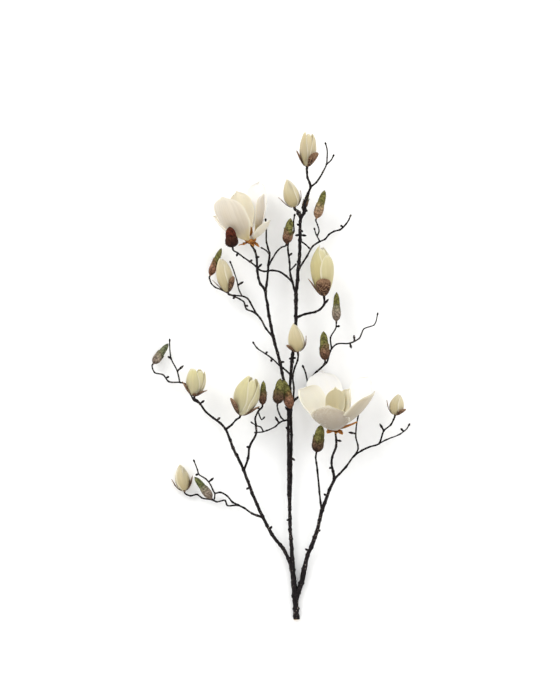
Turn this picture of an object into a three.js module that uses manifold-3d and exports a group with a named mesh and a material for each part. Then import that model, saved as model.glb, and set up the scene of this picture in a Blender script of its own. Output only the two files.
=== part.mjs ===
// A cut magnolia branch lying on its back: bare forked wood, two open blooms,
// nine closed or half-open flowers and thirteen furry winter buds.
//
// Millimetres. +Y runs up the branch, +Z up from the surface it lies on, and the origin is
// on that surface, under the middle of the branch.

import * as THREE from 'three';
import { mergeVertices } from 'three/addons/utils/BufferGeometryUtils.js';
import Module from 'manifold-3d';

const wasm = await Module();
wasm.setup();

// ---------------------------------------------------------------- driving sizes

const BRANCH_LENGTH = 784; // cut end to the tip of the topmost flower
const DRAWING_ROWS = 490; // squares that this length takes on the drawing
const SQUARE = BRANCH_LENGTH / DRAWING_ROWS;
const DRAWING_MIDDLE = [281, 376]; // the square over the origin

const GAP = 0.3; // between a stem's end, its bracts and its petals
const BLOOM_PETAL = 1.1; // petal thickness in an open bloom
const CUP_PETAL = 1.2; // petal thickness in a half-open flower
const BRACT = 0.8; // thickness of the papery brown bracts
const CUP_FLOOR = 1.3; // thickness of the bract cup under a flower
const CLOSED_LIFT = 0.9; // how far a wrapped petal's free edge stands off the next one

const RIGHT = 0; // azimuths about a flower's axis, in degrees
const FRONT = 90;
const LEFT = 180;
const BACK = 270;

// ---------------------------------------------------------------- the drawing

// Places are squares across and down from the drawing's corner, then mm above the surface.
// A fourth number in a stem's course is its diameter there, in mm.

const stems = [
  { // trunk and leader
    ends: 'flower_1',
    course: [[296.5, 621, 3.9, 10], [296, 610, 4.6], [295, 597, 5.8], [293.8, 583, 7.2],
      [292.8, 571, 8, 8.3], [292.3, 560, 9, 6.8], [291.8, 550, 10, 6], [291, 540, 11],
      [290.2, 530, 12], [290, 520, 13, 5.6], [289.8, 510, 14.3], [290, 500, 15.5, 5],
      [291, 480, 17, 4.5], [291, 465, 18], [291.2, 450, 19], [291.5, 435, 20],
      [290.8, 418, 21.6], [291, 410, 22.3, 4.6], [290.3, 400, 23], [290, 388, 24, 4.8],
      [290.5, 378, 25, 4.2], [292, 362, 27, 5.7], [292.7, 354, 27.6, 5], [295, 335, 29],
      [296, 316, 30, 5.8], [296, 308, 30.5, 5], [296, 300, 31, 6.7], [296, 294, 31.6, 5.5],
      [296.7, 288, 32.2, 5], [297.5, 280, 33, 5.8], [298, 270, 34, 5.3], [299, 262, 35],
      [300, 240, 38, 5.5], [300, 230, 39, 4.8], [300.2, 222, 40], [301.5, 217, 41],
      [304, 213, 41.6], [305, 210, 42, 4.8], [304.5, 206, 42.6, 3.8], [306, 200, 43.4],
      [308, 194, 44.2], [310.5, 187, 45, 3.8], [309.5, 183, 45.3], [307.5, 178, 45.6],
      [307, 173, 45.8, 3.4]],
    nubs: [[286.5, 521], [295, 461], [288.8, 359], [296.3, 358], [307.5, 211.5], [303, 232],
      [306.5, 235.8], [295, 235.5], [296.8, 224]],
  },
  { ends: 'tip', course: [[310, 187.5, 45, 2.9], [316, 183, 46], [320, 177.5, 46], [323, 172, 46],
    [326.5, 164.5, 46], [327, 158, 47], [327, 150, 48], [325, 142.5, 49, 2]] },
  { ends: 'tip', course: [[326, 165, 46, 2.2], [331, 160.5, 44], [334, 154.5, 43, 2]] },
  { ends: 'tip', course: [[304, 213, 41.6, 2.4], [302.8, 210, 44], [302, 206.5, 45.5, 2.2]] },
  { ends: 'bud_2', course: [[304.8, 210.5, 42, 2.4], [304, 209.5, 37.5, 2.4]] },
  { ends: 'flower_2', course: [[301, 218.5, 40.6, 4.4], [298.5, 213, 43, 7.3], [297, 211, 43.5, 3.7]] },
  { ends: 'tip', course: [[300.5, 241, 37.8, 2.4], [306, 245, 37], [310, 248.8, 36, 2]] },

  { // long limb beside the leader, up to the left
    ends: 'tip',
    course: [[289.9, 508, 14.5, 5.4], [288.8, 495, 17], [288.6, 480, 19.5, 4.6],
      [288.5, 465, 21.3], [288.5, 450, 23], [288.3, 430, 26], [288.5, 415, 28], [288, 400, 29],
      [286, 388, 29], [282, 373, 29], [280, 362, 29], [277.5, 353, 29], [275, 344, 29],
      [273, 336, 29.3, 4.9], [271, 326, 29.7], [269, 316, 30], [267.5, 305, 30.6],
      [265.5, 291, 32, 4.4], [266.5, 285, 34, 3.7], [268, 271, 37], [268.3, 265, 37.5],
      [269.5, 253, 37, 3.2], [268, 248, 32], [266.5, 242, 29], [266.3, 228, 27],
      [265.5, 218, 26, 2.2]],
    nubs: [[285.8, 427], [284.5, 362]],
  },
  { ends: 'bloom_1', nubs: [[259.5, 257]], course: [[265.6, 292, 32, 3.7], [263, 287, 32.6],
    [260.5, 284, 33, 3.9], [258.5, 278, 34], [257.3, 271, 35], [256.5, 257, 36],
    [254.8, 250.5, 36.5, 3.4]] },
  { ends: 'tip', course: [[269.4, 254, 37.5, 2.4], [266, 250.5, 39.5], [260.5, 247.3, 41, 2]] },
  { ends: 'bud_3', course: [[268.3, 266, 37.5, 2.9], [272, 259.5, 40], [276, 253, 43],
    [281.5, 247.5, 47.5, 2.4]] },
  { ends: 'tip', nubs: [[292.3, 253]], course: [[296, 296, 31, 3.7], [294, 288, 33],
    [292.5, 282, 35], [290.5, 275, 36.5], [289.5, 262, 38], [288, 250, 37.5], [288, 244, 35.5],
    [290, 239, 32.5], [294, 231, 31.5], [293.5, 222, 32], [295, 213.5, 32, 2.2]] },
  { ends: 'tip', course: [[290, 270.5, 37, 2.4], [294, 266.5, 32], [296.6, 263.5, 29.5, 2]] },
  { ends: 'bud_1', nubs: [[262, 264], [252.5, 260], [236.8, 257]], course: [[292.5, 282, 35, 3.2],
    [286, 276, 38], [280, 272, 41], [272, 270.5, 44], [264, 271.5, 47], [259.5, 270, 48],
    [256, 266.5, 49.5], [250, 262, 54], [244, 258, 61], [238, 253.5, 69, 2.4]] },

  { ends: 'tip', course: [[299.3, 268.5, 34.3, 2.9], [303, 262.5, 31], [307, 256, 28],
    [313, 246, 25], [319, 241.8, 27], [325, 239, 28], [329, 234.5, 28], [334, 231.3, 27],
    [340, 229.5, 26, 2.7], [346, 224, 25], [349, 219.5, 24], [351.3, 214, 22, 2]],
  nubs: [[340.5, 225]] },
  { ends: 'tip', course: [[320, 241.3, 27.2, 2.2], [316.3, 234.5, 30], [314, 227.5, 33, 1.8]] },
  { ends: 'bud_4', course: [[317, 236, 29.4, 2.2], [319, 231.5, 32], [317.5, 224.5, 33.5, 2.2]] },

  { ends: 'flower_3', nubs: [[328.5, 299]], course: [[296, 318, 30, 3.7], [300, 316, 31.5],
    [305, 314, 33.5], [310, 313, 36], [315, 312, 39], [320, 309.5, 42], [323.8, 305, 44.5, 3.4]] },
  { ends: 'flower_5', course: [[291.2, 409, 22.2, 3.2], [293.3, 398, 26], [293.8, 388, 32],
    [292.8, 376, 37], [295, 367, 41], [297.6, 360, 44.5, 2.9]] },
  { ends: 'tip', nubs: [[271, 362], [267.5, 351.5]], course: [[291, 375, 25.3, 2.9],
    [283, 368, 23], [279, 365, 21.5], [272, 358.5, 20], [265.5, 353.8, 18], [257, 348, 16],
    [252.4, 341.5, 13, 2]] },

  { // twig to the two left-hand flowers and the small bud beyond them
    ends: 'flower_4',
    course: [[273, 337, 29.3, 3.4], [266, 328.5, 27], [260, 318, 25], [257, 314.5, 24, 2.9],
      [254.5, 310.5, 24.5], [250, 302, 25.5], [247.5, 298.3, 26], [244, 296.6, 27],
      [234.5, 295.3, 31, 2.4]],
  },
  { ends: 'bud_5', nubs: [[248.2, 306], [232.5, 298.5]], course: [[256.5, 314, 24, 2.7],
    [252, 311.3, 19], [246.3, 309, 16], [243.5, 301.5, 15], [239.5, 298.8, 14], [231, 294.8, 15],
    [222, 289.8, 17], [214.5, 286.7, 17], [211, 283, 16.5], [209.6, 279.5, 15.5, 2.2]] },
  { ends: 'tip', course: [[242, 296, 28, 2.2], [239, 290, 25.5], [236.6, 280, 22],
    [231.5, 265, 19], [229.5, 260.5, 18, 1.8]], nubs: [[243.5, 281.5]] },

  { // long limb out to the left
    ends: 'flower_6',
    course: [[292, 569, 8, 6.4], [288, 559, 10, 5.7], [283, 549, 12], [280, 545.5, 13],
      [277, 542, 13.6], [272, 535, 15, 5.2], [267, 526, 17], [262.5, 517, 19, 5.2],
      [257, 505, 21.5], [252, 493, 24], [248, 482, 26], [243.5, 470, 28, 4.7], [236.5, 455, 30],
      [233, 448, 31, 4.7], [230, 440, 32], [225.5, 429, 33.5, 3.8], [220, 423, 34],
      [213, 417.7, 34], [206, 412, 34], [200, 403.8, 33.5, 3.3], [197.2, 400.5, 33.8, 3.1]],
    nubs: [[272, 526.5], [246, 489.5], [220.3, 417.5], [204.5, 400.3]],
  },
  { ends: 'bud_8', nubs: [[168.8, 376.5]], course: [[198.5, 402.5, 33.3, 2.9],
    [194, 400.5, 30], [190.5, 394.5, 21], [184.5, 383.8, 17.5], [180, 382.6, 17.5], [168, 381.6, 13],
    [162.5, 374.9, 12], [154, 372.5, 11], [151.8, 368.5, 12, 2.2]] },
  { ends: 'knob', course: [[179.5, 382.6, 17.5, 2.4], [177, 371, 22], [171, 358.7, 25],
    [169.5, 345, 26.5], [169.5, 338.5, 27, 2]], nubs: [[167.5, 356.3], [183.5, 365.5]] },
  { ends: 'flower_7', course: [[225.6, 429.5, 33.5, 3.4], [229, 427, 35.5], [232, 424.5, 38],
    [236, 419.8, 41, 2.9]] },
  { ends: 'bud_9', nubs: [[246.3, 447], [257, 407]], course: [[243.7, 470.5, 28, 3.7], [248, 458.5, 30],
    [249.5, 447, 31.3, 3.7], [256.2, 433, 32.5], [256, 425.5, 33.5], [255.2, 418.5, 34.5],
    [258.5, 411, 35.5], [261.5, 408, 36.3, 2.4]] },
  { ends: 'tip', course: [[258, 411.8, 35.3, 2.2], [262, 419.5, 33.5], [265, 416.5, 34, 1.8]] },
  { ends: 'tip', course: [[288.4, 420, 27.3, 2.9], [284, 420.7, 32.5], [279, 423, 35],
    [276, 426, 35.6], [267, 430.5, 36.6], [263, 431.7, 37], [254, 432.7, 38.5, 2]],
  nubs: [[275, 416.5]] },
  { ends: 'knob', course: [[263.4, 431.6, 37, 2.2], [260.5, 426.8, 38], [257, 425.8, 39],
    [250.5, 421.6, 41, 1.8]] },
  { ends: 'bud_10', course: [[284.3, 420.7, 32.3, 2.7], [281, 417.3, 38], [279, 413, 43],
    [277.7, 409, 49, 2.4]] },
  { ends: 'bud_11', nubs: [[285, 406.5]], course: [[288.4, 418, 27.7, 2.9],
    [289.8, 412.5, 35.5, 2.4]] },

  { // low twig on the left
    ends: 'knob',
    course: [[262.7, 517.8, 19, 3.7], [257, 516, 18.5], [252, 514, 18], [244, 508.5, 17],
      [238, 505.5, 16.4, 2.9], [232.5, 502.7, 17], [227, 496.3, 18.5], [220, 492.7, 19],
      [214.7, 493.5, 19.4], [212.5, 490, 20, 2.4], [210.5, 485.5, 21], [206, 479.5, 22.5],
      [198.4, 474, 24], [197.3, 470, 25], [193.3, 459.5, 27, 2]],
    nubs: [[213.7, 478], [195.3, 475.5]],
  },
  { ends: 'bud_13', course: [[214.9, 493.3, 19.4, 2.2], [214, 499.5, 25.5, 2.2]] },
  { ends: 'flower_9', course: [[238.5, 505.8, 16.4, 2.7], [234, 506, 13], [227, 506, 10],
    [225, 501.3, 8.5], [216, 502.5, 7], [212.5, 500.8, 6.5], [201, 498.4, 6], [197, 495.3, 6],
    [190, 496.5, 6.5], [186.3, 495.3, 8.3, 2.4]] },

  { // right-hand limb
    ends: 'bloom_2',
    course: [[295.2, 600, 6, 9.1], [298, 593.5, 6.5], [301.5, 584, 7], [304.5, 570, 9, 7.8],
      [307.8, 556, 11.5, 6.5], [311.3, 548, 12.8, 6.5], [315, 538, 15], [316.8, 532.5, 16],
      [319.7, 521, 18, 6], [322, 511, 20, 6.2], [325, 503, 22], [329.5, 490, 25.5, 5.2],
      [334.3, 478.5, 29, 4.9], [333, 471, 32], [331.4, 463, 36.5, 3.9], [332.2, 457, 39],
      [336, 446, 44], [336.2, 440, 45.4, 3.6]],
    nubs: [[305, 549.5], [320.8, 530.5], [323.8, 494], [329, 468.5], [341.5, 441]],
  },
  { ends: 'bud_12', course: [[321.9, 511, 20, 3.1], [320.7, 503, 23], [319.5, 492, 26],
    [317.3, 470, 31.5], [316.4, 463, 33.5, 3.1], [315.7, 457, 35, 2.4]] },
  { ends: 'flower_8', nubs: [[379.7, 423.6]], course: [[333.5, 480, 28.6, 3.9], [339.5, 474, 29],
    [346, 467, 28.7], [354, 456.3, 27.5, 3.1], [362, 450.6, 26], [370, 447, 24],
    [379.7, 443.4, 22, 2.9], [381, 440, 24], [384, 430.8, 29], [391, 424.6, 33],
    [393.6, 419.5, 35.5, 2.6]] },
  { ends: 'tip', course: [[354.5, 456, 27.5, 2.7], [358.2, 449, 25], [358, 445.5, 24],
    [356, 437.8, 21], [356.2, 430, 20], [358, 418, 19], [364, 401, 22], [370.6, 386.5, 25, 2]],
  nubs: [[348.5, 432.5]] },
  { ends: 'knob', nubs: [[401, 428.5]], course: [[379.3, 443.6, 22, 2.4], [386.5, 440, 20],
    [400.5, 434.3, 15], [407.5, 428.8, 12], [410.6, 423.6, 10, 2]] },

  { // twig that passes under the lower bloom
    ends: 'bud_6',
    course: [[290.6, 405, 22.6, 3.7], [296, 399, 19], [303, 393, 13], [308, 385.5, 9, 3.2],
      [312.5, 377, 7], [317, 371.7, 7], [322, 367.2, 16, 2.9], [324.3, 363.5, 31, 2.4]],
  },
  { ends: 'knob', course: [[308.2, 385, 9, 2.7], [305.5, 372.5, 16], [302.5, 365, 23, 2.4]] },
  { ends: 'knob', nubs: [[351.5, 348.5], [354, 335]], course: [[320.5, 368.7, 14.5, 2.7],
    [326.8, 362.5, 24], [330.5, 351, 26.5], [332, 348.3, 27, 2.7], [336.5, 344.3, 28],
    [350, 343.2, 27], [359.3, 338.3, 26], [364, 329, 25], [374.5, 324.6, 24],
    [378.3, 312.3, 22, 1.8]] },
  { ends: 'bud_7', course: [[331.8, 349, 27, 2.7], [330.5, 338, 30], [336.2, 326.5, 34, 2.2]],
    nubs: [[340, 326]] },
];

// Closed and half-open flowers. wide: where a flower is widest, as a share of its length. top:
// share of its radius left at the top. free: its petals stand free round a closed heart. step:
// how much lower each petal ends. turn: azimuth of the outermost petal. bracts: [azimuth, reach
// as a share of the length, width in mm, flare].
const flowers = {
  flower_1: { base: [307, 167, 46], tip: [309, 133, 50], width: 25, wide: 0.5, top: 0.55,
    free: true, turn: 140, bracts: [[165, 0.45, 6, 0.3], [50, 0.44, 11, 0.5]] },
  flower_2: { base: [294.5, 207.5, 43.5], tip: [287, 179, 45], width: 24, wide: 0.35, top: 0,
    turn: 100, bracts: [[LEFT, 0.45, 6, 0.5], [RIGHT, 0.5, 7, 0.15]] },
  flower_3: { base: [324, 296, 45], tip: [320.5, 245.5, 50], width: 36, wide: 0.56, top: 0.05,
    step: 0.1, turn: 140, bracts: [[FRONT, 0.35, 24, 0.05], [170, 0.36, 8, 0.25], [BACK, 0.3, 16, 0.1]] },
  flower_4: { base: [228, 292, 35], tip: [221, 258, 38], width: 24.5, wide: 0.46, top: 0.15,
    turn: 120, bracts: [[45, 0.42, 10, 0.25], [LEFT, 0.42, 5, 0.45]] },
  flower_5: { base: [297.7, 352, 48.5], tip: [293.5, 323, 50], width: 25, wide: 0.32, top: 0,
    turn: 80, bracts: [[150, 0.3, 9, 0.2], [RIGHT, 0.5, 7, 0.2]] },
  flower_6: { base: [194.5, 396, 35], tip: [197, 368.5, 40], width: 31, wide: 0.56, top: 0.7,
    free: true, turn: 110, bracts: [[160, 0.5, 8, 0.25], [35, 0.28, 12, 0.45], [FRONT, 0.12, 8, 0.05]] },
  flower_7: { base: [240.5, 415, 44], tip: [253, 376.5, 50], width: 39, wide: 0.52, top: 0.4,
    free: true, turn: 130, bracts: [[140, 0.36, 13, 0.35], [20, 0.36, 8, 0.2]] },
  flower_8: { base: [395, 415, 37], tip: [399, 394, 40], width: 22, wide: 0.42, top: 0.1,
    turn: 120, bracts: [[40, 0.4, 10, 0.35], [LEFT, 0.6, 6, 0.4]] },
  flower_9: { base: [184, 491.5, 11.6], tip: [179.5, 464.5, 11], width: 22.4, wide: 0.36, top: 0,
    turn: 60, bracts: [[12, 0.5, 7, 0.35], [LEFT, 0.5, 6, 0.35]] },
};

// Open blooms. petals: [azimuth, length, width, lean from the axis at base, middle and tip,
// half-angle that the petal curls round at its base and at its tip, sideways sweep of the tip]
const blooms = {
  bloom_1: {
    base: [251, 242.5, 38],
    towards: [-0.16, 1, 0.2],
    petals: [
      [120, 104, 61, 80, 26, -6, 52, 34, 8],
      [198, 72, 46, 76, 48, 22, 60, 40],
      [250, 84, 44, 50, 14, -2, 60, 42],
      [316, 100, 52, 58, 18, 4, 60, 34],
      [26, 82, 34, 50, 21, 4, 60, 44],
      [30, 48, 40, 74, 50, 12, 55, 26],
      [BACK, 56, 38, 82, 62, 14, 50, 22],
    ],
    bracts: [[165, 18, 9, 96, 100], [40, 16, 8, 118, 136]],
  },
  bloom_2: {
    base: [335.3, 429.5, 47],
    towards: [0, 1, 0.47],
    petals: [
      [252, 101, 62, 69, 48, 20, 50, 24],
      [203, 84, 80, 68, 48, 26, 56, 42],
      [96, 84, 66, 78, 38, -52, 72, 26, 8],
      [35, 106, 66, 60, 39, 20, 60, 36],
      [312, 101, 48, 72, 50, 32, 58, 30],
      [268, 66, 36, 48, 8, -8, 60, 42],
      [332, 69, 36, 50, 16, -4, 60, 42],
      [276, 68, 40, 86, 76, 27, 50, 22],
    ],
    bracts: [[355, 34, 9, 80, 62], [50, 15, 11, 104, 92], [135, 17, 13, 100, 76]],
  },
};

// Furry buds: base, tip, thickness in mm, and the azimuth of the longer bud scale. A coat names
// the material of a bud that is still brown all over.
const buds = {
  bud_1: { base: [233, 248, 81], tip: [230, 228.5, 88], width: 20, turn: 80, coat: 'scales' },
  bud_2: { base: [303.7, 208.5, 34.5], tip: [308.5, 192, 36], width: 8, turn: 0 },
  bud_3: { base: [286.5, 243.5, 50], tip: [290.5, 219.5, 52], width: 15.5, turn: 150 },
  bud_4: { base: [316.5, 218, 34], tip: [324.5, 191, 37], width: 14, turn: 100 },
  bud_5: { base: [210, 275, 15], tip: [221, 248.5, 17], width: 11.5, turn: 150 },
  bud_6: { base: [325, 360, 38], tip: [323.5, 332, 42], width: 15.5, turn: 60 },
  bud_7: { base: [336.3, 321, 35.5], tip: [336.5, 293, 38], width: 13, turn: 90 },
  bud_8: { base: [153, 363.5, 12.5], tip: [167.5, 344, 15], width: 13, turn: 120 },
  bud_9: { base: [262.5, 404.5, 36.5], tip: [263.5, 381.5, 37], width: 11.5, turn: 60 },
  bud_10: { base: [277.5, 403.5, 53], tip: [280.5, 379, 55], width: 17, turn: 110 },
  bud_11: { base: [290.5, 408, 42], tip: [284, 380.5, 41], width: 15.5, turn: 50 },
  bud_12: { base: [316.5, 452, 36], tip: [321, 425.5, 37], width: 18.5, turn: 200 },
  bud_13: { base: [211.5, 498.5, 30], tip: [195, 477.5, 33], width: 13, turn: 90 },
};

// ---------------------------------------------------------------- shared geometry

const rad = THREE.MathUtils.degToRad;
const lerp = THREE.MathUtils.lerp;

function place([x, y, z]) {
  return new THREE.Vector3((x - DRAWING_MIDDLE[0]) * SQUARE, (DRAWING_MIDDLE[1] - y) * SQUARE, z);
}

// A closed solid through rings of points that all run the same way round. Each ring's second
// half is the other face of the first, so its cells are split the opposite way.
function loft(rings) {
  const count = rings[0].length;
  const positions = rings.flat().flatMap((point) => point.toArray());
  const triangles = [];
  for (let ring = 0; ring + 1 < rings.length; ring += 1) {
    for (let side = 0; side < count; side += 1) {
      const here = ring * count + side;
      const next = ring * count + (side + 1) % count;
      if (side < count / 2) {
        triangles.push(here, next, next + count, here, next + count, here + count);
      } else {
        triangles.push(here, next, here + count, next, next + count, here + count);
      }
    }
  }
  const last = (rings.length - 1) * count;
  for (let low = 0, high = count - 1; low + 1 < high; low += 1, high -= 1) {
    triangles.push(low, high, low + 1, last + low, last + low + 1, last + high);
    if (low + 1 < high - 1) {
      triangles.push(low + 1, high, high - 1, last + low + 1, last + high - 1, last + high);
    }
  }
  const geometry = new THREE.BufferGeometry();
  geometry.setAttribute('position', new THREE.Float32BufferAttribute(positions, 3));
  geometry.setIndex(triangles);
  return geometry;
}

function solid(geometry) {
  geometry.deleteAttribute('normal');
  geometry.deleteAttribute('uv');
  const merged = mergeVertices(geometry);
  const made = new wasm.Manifold(new wasm.Mesh({
    numProp: 3,
    vertProperties: new Float32Array(merged.attributes.position.array),
    triVerts: new Uint32Array(merged.index.array),
  }));
  if (made.volume() < 0) throw new Error('a solid is inside out');
  return made;
}

function fuse(solids) {
  return solids.reduce((whole, piece) => whole.add(piece));
}

function circle(centre, across, along, radius, sides) {
  return Array.from({ length: sides }, (_, side) => {
    const angle = 2 * Math.PI * side / sides;
    return centre.clone()
      .addScaledVector(across, radius * Math.cos(angle))
      .addScaledVector(along, radius * Math.sin(angle));
  });
}

// ---------------------------------------------------------------- places of flowers and buds

// The frame of a flower: x to its right, y to its back, z along its axis.
function carriedFrame(base, axis) {
  const up = new THREE.Vector3(0, 0, 1);
  const front = up.addScaledVector(axis, -up.dot(axis)).normalize();
  const right = axis.clone().cross(front);
  const back = front.clone().negate();
  const matrix = new THREE.Matrix4().makeBasis(right, back, axis).setPosition(base);
  return { base, axis, matrix };
}

const carried = {};
for (const [name, item] of Object.entries({ ...flowers, ...buds })) {
  const base = place(item.base);
  const reach = place(item.tip).sub(base);
  carried[name] = { ...item, ...carriedFrame(base, reach.clone().normalize()),
    length: reach.length(), radius: item.width / 2 };
}
for (const [name, item] of Object.entries(blooms)) {
  const axis = new THREE.Vector3(...item.towards).normalize();
  carried[name] = { ...item, ...carriedFrame(place(item.base), axis) };
}

// ---------------------------------------------------------------- wood

const TIP_STEPS = [[4.6, 1], [2.4, 1.6], [0, 0.4]]; // mm before the end, share of the thickness
const KNOB_STEPS = [[5.2, 1], [3, 2], [0, 0.8]];
const THICK_STEM = 3.4; // stems from this diameter up get five sides, thinner ones four
const COLLAR = 4; // length of the swollen end under a flower or bud
const COLLAR_SWELL = 1.25;
const NUB_RISE = 1; // height that a side nub gains
const NUB_SIZES = [2.8, 3.8, 1.4]; // diameters of a nub at its root, its bud and its tip
const NUB_BUD = 0.62; // where its bud is thickest, as a share of its length
const NUB_SIDES = 3;

// Every point of a course, with diameters filled in between those that the course gives.
function coursePoints(course) {
  const points = course.map(place);
  const sized = course.map((stop, index) => [index, stop[3]]).filter(([, size]) => size);
  const sizes = points.map((_, index) => {
    const after = sized.findIndex(([at]) => at >= index);
    if (sized[after][0] === index) return sized[after][1];
    const [low, small] = sized[after - 1];
    const [high, large] = sized[after];
    return lerp(small, large, (index - low) / (high - low));
  });
  return { points, sizes };
}

function tube(points, sizes, sides, endAxis) {
  const directions = points.map((point, index) => {
    const before = points[Math.max(index - 1, 0)];
    const after = points[Math.min(index + 1, points.length - 1)];
    return after.clone().sub(before).normalize();
  });
  if (endAxis) directions[directions.length - 1] = endAxis;
  const across = new THREE.Vector3(0, 0, 1);
  const rings = points.map((point, index) => {
    const along = directions[index];
    across.addScaledVector(along, -across.dot(along)).normalize();
    return circle(point, across, along.clone().cross(across), sizes[index] / 2, sides);
  });
  return solid(loft(rings));
}

// Swaps the last point of a course for the few rings of a resting tip.
function addTip(points, sizes, steps) {
  const end = points.pop();
  const size = sizes.pop();
  const direction = end.clone().sub(points.at(-1)).normalize();
  for (const [before, share] of steps) {
    points.push(end.clone().addScaledVector(direction, -before));
    sizes.push(size * share);
  }
}

function addCollar(points, sizes, { base, axis }) {
  for (const before of [COLLAR, GAP]) points.push(base.clone().addScaledVector(axis, -before));
  sizes.push(sizes.at(-1), sizes.at(-1) * COLLAR_SWELL);
}

// A short leaf scar or side shoot, out from the nearest point of its stem.
function nub(points, [x, y]) {
  const end = place([x, y, 0]);
  const away = (point) => Math.hypot(point.x - end.x, point.y - end.y);
  const middles = points.slice(1).map((point, index) => point.clone().lerp(points[index], 0.5));
  const root = [...points, ...middles].reduce((near, point) => (
    away(point) < away(near) ? point : near));
  end.z = root.z + NUB_RISE;
  return tube([root, root.clone().lerp(end, NUB_BUD), end], NUB_SIZES, NUB_SIDES);
}

function stemSolids({ course, ends, nubs = [] }) {
  const { points, sizes } = coursePoints(course);
  const side = nubs.map((end) => nub(points, end));
  if (ends === 'tip') addTip(points, sizes, TIP_STEPS);
  else if (ends === 'knob') addTip(points, sizes, KNOB_STEPS);
  else addCollar(points, sizes, carried[ends]);
  const sides = Math.max(...sizes) >= THICK_STEM ? 5 : 4;
  return [tube(points, sizes, sides, carried[ends]?.axis), ...side];
}

// ---------------------------------------------------------------- flowers

const CUP_SIDES = 8;
const FLOWER_COLUMNS = 10;
const CHORD = 1 / Math.cos(Math.PI / FLOWER_COLUMNS); // widens a faceted ring to clear a round one
const BULGE = 1.09; // a clasping cup is this much wider than what it holds
const CLEARANCE = 0.85; // and stands this far off it
const PETAL_STEPS = [0.16, 0.36, 0.6, 0.84, 1]; // rings up a closed flower
const TIP_RADIUS = 0.05; // share of the radius left at a closed tip
const PETAL_DROP = 0.05; // each wrapped petal ends this share of the length below the last
const WRAPPED_PETALS = 3;
const HEART_RADIUS = 0.72; // the heart's share of the flower's radius and length
const HEART_LENGTH = 0.92;
const FREE_PETAL_WRAP = 64; // half-angle that a free petal covers
const FOOT_SWELL = 0.55; // power of the curve of a flower's foot: less is rounder
const TOP_SWELL = 0.9; // and of its curve from the widest place to the top
const SHORT_FROM = 0.8; // share of the length from which the lower petals draw down
const CUP_TIP = 0.42; // how much of its wrap a free petal keeps at the tip
const LEAST_BRACT = 40; // half-angle that the narrowest bract covers
const LEAST_RIM = 0.1; // rim height between the bracts, as a share of the length

const BLOOM_CUP = 4.6; // inner radius of the shallow cup under a bloom
const RECEPTACLE = [[2.6, CUP_FLOOR + GAP], [5.4, 4.5], [4.2, 8], [2.6, 11]]; // radius, height
const PETAL_SEAT = 4; // height at which a bloom's petals leave its receptacle
const PETAL_ROOT = 3.6; // and their radius there
const LINE_STEPS = 24; // short straight steps in a petal's middle line
const ROWS_UP = [0, 0.2, 0.44, 0.7, 0.9, 1]; // rows of facets up an open petal
const WIDEST = 0.6; // where a petal is widest, as a share of its length
const FOOT_WIDTH = 0.13; // width of a petal's foot, as a share of its widest
const TIP_CUT = 0.95; // how nearly its sides meet at the tip
const FOOT_CURVE = 1.2; // how hollow a petal's sides are towards its foot
const TIP_CURVE = 3.8; // how blunt a petal's end is
const SWEEP_CURVE = 1.5; // how late a petal's middle line turns sideways
const BRACT_KEEL = 1.5; // how far a strap's edges turn up
const CONE_SEAT = 11.3; // height of the cone's foot above a bloom's base
const CONE_ROWS = [[3.2, 0], [5, 2], [4.2, 6], [5.2, 8], [3.6, 12], [4.2, 14], [2.2, 18],
  [0.4, 22]]; // radius, height

function polar(azimuth, radius, height) {
  const angle = rad(azimuth);
  return new THREE.Vector3(radius * Math.cos(angle), -radius * Math.sin(angle), height);
}

// Share of a flower's radius at v along it: it swells to its widest place, then draws in.
function outline(v, { wide, top }) {
  if (v < wide) return Math.sin(Math.PI / 2 * v / wide) ** FOOT_SWELL;
  const past = (v - wide) / (1 - wide);
  return Math.max(lerp(top, 1, Math.cos(Math.PI / 2 * past) ** TOP_SWELL), TIP_RADIUS);
}

// A ring of azimuths in the local frame, with its own radius and height at each.
function localRing(sides, turn, radius, height) {
  return Array.from({ length: sides }, (_, side) => {
    const azimuth = turn - 360 * side / sides;
    return polar(azimuth, radius(azimuth), height(azimuth));
  });
}

// A curved blade from two faces: face(u, v, depth) with depth 0 outside and 1 inside.
function blade(face, across, steps) {
  const rings = steps.map((v) => {
    const outside = [];
    const inside = [];
    for (let cell = 0; cell <= across; cell += 1) {
      const u = 1 - 2 * cell / across;
      outside.push(face(u, v, 0));
      inside.unshift(face(u, v, 1));
    }
    return [...outside, ...inside];
  });
  return solid(loft(rings));
}

// The wrapped petals of a closed flower: each ring steps out at the free edge of every petal,
// and the petals end one above another.
function wrappedPetals({ radius, length, turn, wide, top, start, cells, step = PETAL_DROP }) {
  const rings = [start, ...PETAL_STEPS].map((v) => (
    Array.from({ length: WRAPPED_PETALS * cells }, (_, column) => {
      const petal = Math.floor(column / cells);
      const across = (column % cells) / (cells - 1);
      const azimuth = turn - 360 / WRAPPED_PETALS * (petal + lerp(0.02, 0.98, across));
      const round = radius * outline(v, { wide, top });
      const lift = CLOSED_LIFT * (1 - across) * Math.min(round / 5, 1);
      const shorter = step * petal * Math.max(v - SHORT_FROM, 0) / (1 - SHORT_FROM);
      return polar(azimuth, round + lift, length * (v - shorter));
    })
  ));
  return solid(loft(rings));
}

// One free petal of a half-open flower.
function cupPetal({ turn, radius, length, start, wide, top }) {
  return blade((u, v, depth) => {
    const narrow = lerp(1, CUP_TIP, Math.max(2 * v - 1, 0));
    const round = radius * outline(v, { wide, top });
    const outer = round + CLOSED_LIFT * (1 - u) / 2 * Math.min(round / 4, 1);
    const inner = outer - Math.min(CUP_PETAL, 0.5 * outer);
    return polar(turn + FREE_PETAL_WRAP * narrow * u, depth ? inner : outer, length * v);
  }, 3, [start, ...PETAL_STEPS]);
}

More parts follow.
